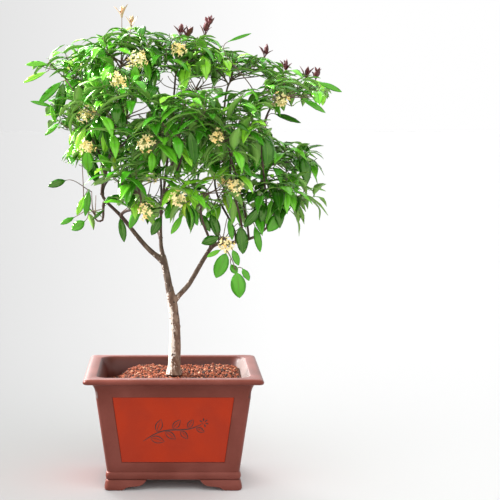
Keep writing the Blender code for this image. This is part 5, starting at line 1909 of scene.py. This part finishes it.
def blades(found, seed):
    """Points of many leaves at once, as an array by leaf, point and axis."""
    count = len(found)
    draw = np.random.default_rng(seed)
    way, side, face, root = (np.array([tuple(getattr(leaf, name)) for leaf in found])[:, None, None]
                             for name in ("heading", "side", "face", "root"))
    length, width = (np.array([getattr(leaf, name) for leaf in found])[:, None, None]
                     for name in ("length", "width"))
    bending = np.array([leaf.bend for leaf in found])[:, None]
    steps = np.diff(ROW_PLACES, prepend=0)[None]
    smooth = np.clip((ROW_PLACES - 0.1) / 0.85, 0, 1)[None]
    angle = bending * smooth ** 2 * (3 - 2 * smooth)
    ahead = np.cumsum(np.cos(angle) * steps, 1)[..., None]
    down = np.cumsum(np.sin(angle) * steps, 1)[..., None]
    cos, sin = np.cos(angle)[..., None, None], np.sin(angle)[..., None, None]
    forward = way * cos - face * sin
    up = way * sin + face * cos
    twist = draw.uniform(-0.5, 0.5, (count, 1, 1, 1)) * ROW_PLACES[None, :, None, None]
    across = side * np.cos(twist) + up * np.sin(twist)
    up = up * np.cos(twist) - side * np.sin(twist)
    rows, columns = ROW_PLACES[None, :, None], COLUMN_PLACES[None, None]
    blunt = np.array([leaf.tone is not None for leaf in found])[:, None, None]
    falling = np.where(blunt, BLUNT_FALLING, draw.uniform(*POINTED_FALLING, (count, 1, 1)))
    half = np.maximum(blade_width(rows, falling) * width / 2, PETIOLE_WIDTH / 2 * (rows <= 0.12) + 0.0001)
    fold = draw.uniform(0.12, 0.42, (count, 1, 1))
    curl = draw.uniform(0.04, 0.24, (count, 1, 1))
    wave = draw.uniform(0.0003, 0.0008, (count, 1, 1)) * np.sin(rows * 17 + draw.uniform(0, 6, (count, 1, 1)))
    veins = VEIN_RELIEF * np.where(np.arange(len(ROW_PLACES)) % 2, 1, -1)[None, :, None]
    lift = half * (fold * abs(columns) - curl * columns ** 2) + wave * columns ** 2 * (half > 0.003)
    lift = lift + veins * (np.abs(columns) == 0.5) * (half > 0.003)
    shift = SWEEP * length * np.abs(columns) * np.sin(np.pi * rows) * (rows > 0.1)
    spine = root + way * (ahead * length)[..., None] - face * (down * length)[..., None]
    top = spine + forward * shift[..., None] + across * (half * columns)[..., None] + up * lift[..., None]
    thick = BLADE_THICKNESS + (RIB_THICKNESS - BLADE_THICKNESS) * (1 - ROW_PLACES)[None, :, None]
    keel = spine[:, :, 0] - up[:, :, 0] * np.where(rows[..., 0, None] < 0.1, PETIOLE_WIDTH, thick)
    return np.concatenate([top.reshape(count, -1, 3), keel], 1)


print("faces of one leaf:", len(blade_faces()[0]))


# %% Leaves as meshes
def leaf_mesh(name, found, finishes, tone_of, seed):
    """All the given leaves as one mesh. tone_of gives the number of a leaf's finish."""
    faces, kinds = blade_faces()
    points = blades(found, seed)
    each = points.shape[1]
    all_faces, which = [], []
    for number, leaf in enumerate(found):
        first = number * each
        all_faces += [tuple(first + i for i in face) for face in faces]
        tone = tone_of(leaf)
        which += [(tone, UNDERSIDE, RIB)[kind] for kind in kinds]
    return piece(name, points.reshape(-1, 3), all_faces, finishes, which)


def spray_tone(leaf):
    """The green of a leaf. Its spray gives it, and now and then a leaf is one step fresher."""
    if leaf.tone is not None:
        return leaf.tone
    draw = random.Random(leaf.spray)
    tone = draw.choices(range(len(GREENS)), [share for _, share in GREENS.values()])[0]
    fresher = random.Random(round(leaf.length * 1e7)).random() < 0.12
    return min(tone + fresher, len(GREENS) - 1)


SHARES_OF_CROWN = ("lowest", "low", "high", "highest")
by_height = sorted(masses, key=lambda mass: mass.centre.z)
for number, where in enumerate(SHARES_OF_CROWN):
    chosen = by_height[number * len(masses) // 4:(number + 1) * len(masses) // 4]
    found = [leaf for mass in chosen for leaf in leaves[mass.name]]
    blade_piece = leaf_mesh("leaf_blades_" + where, found, leaf_finishes, spray_tone, SEED + number)
    dress(blade_piece, "foliage", *["leaves_" + mass.name for mass in chosen])
    print(len(found), "leaves")

# %% [markdown]
# ## Young shoots
#
# New growth at the top of the crown is narrow, upright and wine red, and it turns bronze and cream
# before it greens. It uses the same blade with other finishes.

# %% Young leaves
YOUNG_LENGTH = 0.024
YOUNG_TIERS = ((0.18, 0.80, 0.000), (0.52, 1.00, 0.005))  # lean, size, way below the tip
young_finishes = [
    finish("young_wine", (0.095, 0.014, 0.018), 0.45),
    finish("young_red", (0.150, 0.026, 0.028), 0.45),
    finish("young_bronze", (0.380, 0.160, 0.070), 0.45),
    finish("young_cream", (0.900, 0.680, 0.440), 0.5),
    finish("young_tan", (0.560, 0.300, 0.140), 0.5),
    finish("young_under", (0.120, 0.024, 0.028), 0.55),
    finish("young_rib", (0.240, 0.070, 0.055), 0.5),
]
ripe_under = finish("ripe_under", (0.640, 0.400, 0.230), 0.55)
ripe_finishes = young_finishes[:UNDERSIDE] + [ripe_under, young_finishes[3]]


def grow_young(shoot):
    """Pairs of small leaves at a shoot's tip, closed at the top and more open below."""
    end, axis = along(shoot.line, 1)
    draw = random.Random(shoot.seed * 3)
    first_turn = draw.uniform(0, math.pi)
    made = []
    for tier, (lean, size, below) in enumerate(YOUNG_TIERS):
        for half_turn in (0, 1):
            turn = first_turn + math.pi * half_turn + math.pi / 2 * tier
            side = around(axis, turn + draw.uniform(-0.3, 0.3))
            outward = side * (lean + draw.uniform(-0.12, 0.12))
            heading = (axis * 0.3 + Vector((0, 0, 0.8)) + outward).normalized()
            length = YOUNG_LENGTH * size * draw.uniform(0.85, 1.15)
            made.append(Leaf(end - axis * below, heading, -side, length, draw.uniform(0.38, 0.50),
                             draw.uniform(0.1, 0.45), shoot.seed))
    return made


RIPE_ABOVE = 0.855  # the height of the shoots that opened first
ripe = {shoot.seed for found in shoots.values() for shoot in found
        if shoot.kind == "young" and shoot.line[-1].z > RIPE_ABOVE and shoot.line[-1].x < 0}


def young_tone(leaf):
    """Wine red, but bronze and cream on the highest shoots, which opened first."""
    draw = random.Random(round(leaf.length * 1e7))
    return draw.choice((3, 3, 4, 3, 2)) if leaf.spray in ripe else draw.choice((0, 0, 1, 0, 1))


for name, chosen, finishes in (("young_leaves", False, young_finishes), ("ripe_leaves", True, ripe_finishes)):
    found = [leaf for grown in shoots.values() for shoot in grown
             if shoot.kind == "young" and (shoot.seed in ripe) == chosen for leaf in grow_young(shoot)]
    dress(leaf_mesh(name, found, finishes, young_tone, SEED + 1), "foliage")
    print(name, len(found))

# %% [markdown]
# ## Blossom
#
# The flowers of sweet osmanthus are tiny, cream yellow and very many: four round-tipped petals on a
# short stalk, a dozen or two in a cluster. Each petal is a small closed blade of its own.

# %% Blossom finishes
def petal_glow(colour):
    """A petal lets some light through. A faint glow stands for it, which is painted light."""
    return {"Emission Color": colour, "Emission Strength": 0.12}


bloom_finishes = [
    finish("petal_cream", (1.00, 0.86, 0.44), 0.6, petal_glow((1, 0.80, 0.36, 1))),
    finish("petal_gold", (1.00, 0.74, 0.28), 0.6, petal_glow((1, 0.68, 0.22, 1))),
    finish("stalk_green", (0.50, 0.55, 0.18), 0.6),
    finish("eye_amber", (0.70, 0.38, 0.08), 0.6),
]


# %% A petal and a flower
STALK_RADIUS = 0.00045
PETAL_LENGTH = 0.0052
PETAL_WIDTH = 0.0034


def petal(middle, axis, out):
    """A rounded petal that cups upwards. It is closed, with a thin underside."""
    across = axis.cross(out).normalized()
    upper = []
    for run, half, lift in ((0.05, 0.16, 0), (0.40, 0.42, 0.06), (0.75, 0.50, 0.20), (1.0, 0.26, 0.34)):
        at = middle + out * (run * PETAL_LENGTH) + axis * (lift * PETAL_LENGTH)
        upper += [at - across * (half * PETAL_WIDTH), at + across * (half * PETAL_WIDTH)]
    lower = [p - axis * 0.0004 for p in upper]
    points = upper + lower
    faces = []
    for k in range(3):
        a = 2 * k
        faces.append((a, a + 2, a + 3, a + 1))
        faces.append((a + 8, a + 9, a + 11, a + 10))
        faces.append((a, a + 8, a + 10, a + 2))
        faces.append((a + 1, a + 3, a + 11, a + 9))
    faces += [(0, 1, 9, 8), (6, 14, 15, 7)]
    return points, faces


def add_flower(heap, root, middle, axis, turn, tone):
    """A stalk, four petals and an eye."""
    heap.add(*tube([root, root.lerp(middle, 0.5) + Vector((0, 0, 0.0008)), middle],
                   [STALK_RADIUS, STALK_RADIUS * 0.8, STALK_RADIUS * 1.6], 4), 2)
    first = around(axis, turn)
    second = axis.cross(first)
    for k in range(4):
        out = first * math.cos(k * math.pi / 2) + second * math.sin(k * math.pi / 2)
        heap.add(*petal(middle, axis, out), tone)
    eye = [middle + (first * math.cos(t) + second * math.sin(t)) * 0.0007 for t in (0, 2.1, 4.2)]
    heap.add(eye + [middle + axis * 0.0012, middle - axis * 0.0006],
             [(0, 1, 3), (1, 2, 3), (2, 0, 3), (1, 0, 4), (2, 1, 4), (0, 2, 4)], 3)


# %% Clusters of blossom
FLOWERS = 16


def add_cluster(heap, middle, axis, seed):
    """Flowers round a shoot's tip, on stalks that spread like a ball's spokes."""
    draw = random.Random(seed * 5)
    for number in range(FLOWERS):
        rise = 1 - 1.75 * (number + 0.5) / FLOWERS
        turn = number * GOLDEN_TURN + draw.uniform(-0.3, 0.3)
        out = (axis * rise + around(axis, turn) * math.sqrt(max(0.0, 1 - rise * rise))).normalized()
        reach = BLOOM_RADIUS * draw.uniform(0.42, 0.86)
        root = middle - axis * draw.uniform(0.0, 0.006)
        tilt = (out + Vector((draw.uniform(-1, 1), draw.uniform(-1, 1), draw.uniform(-1, 1))) * 0.35)
        add_flower(heap, root, middle + out * reach, tilt.normalized(), draw.uniform(0, 1.5),
                   int(draw.random() < 0.3))


blossom = Heap()
for middle, axis, seed in blooms:
    add_cluster(blossom, middle, axis, seed)
blossom_piece = piece("blossom", blossom.points, blossom.faces, bloom_finishes, blossom.which, sharp=50)
dress(blossom_piece, "foliage")
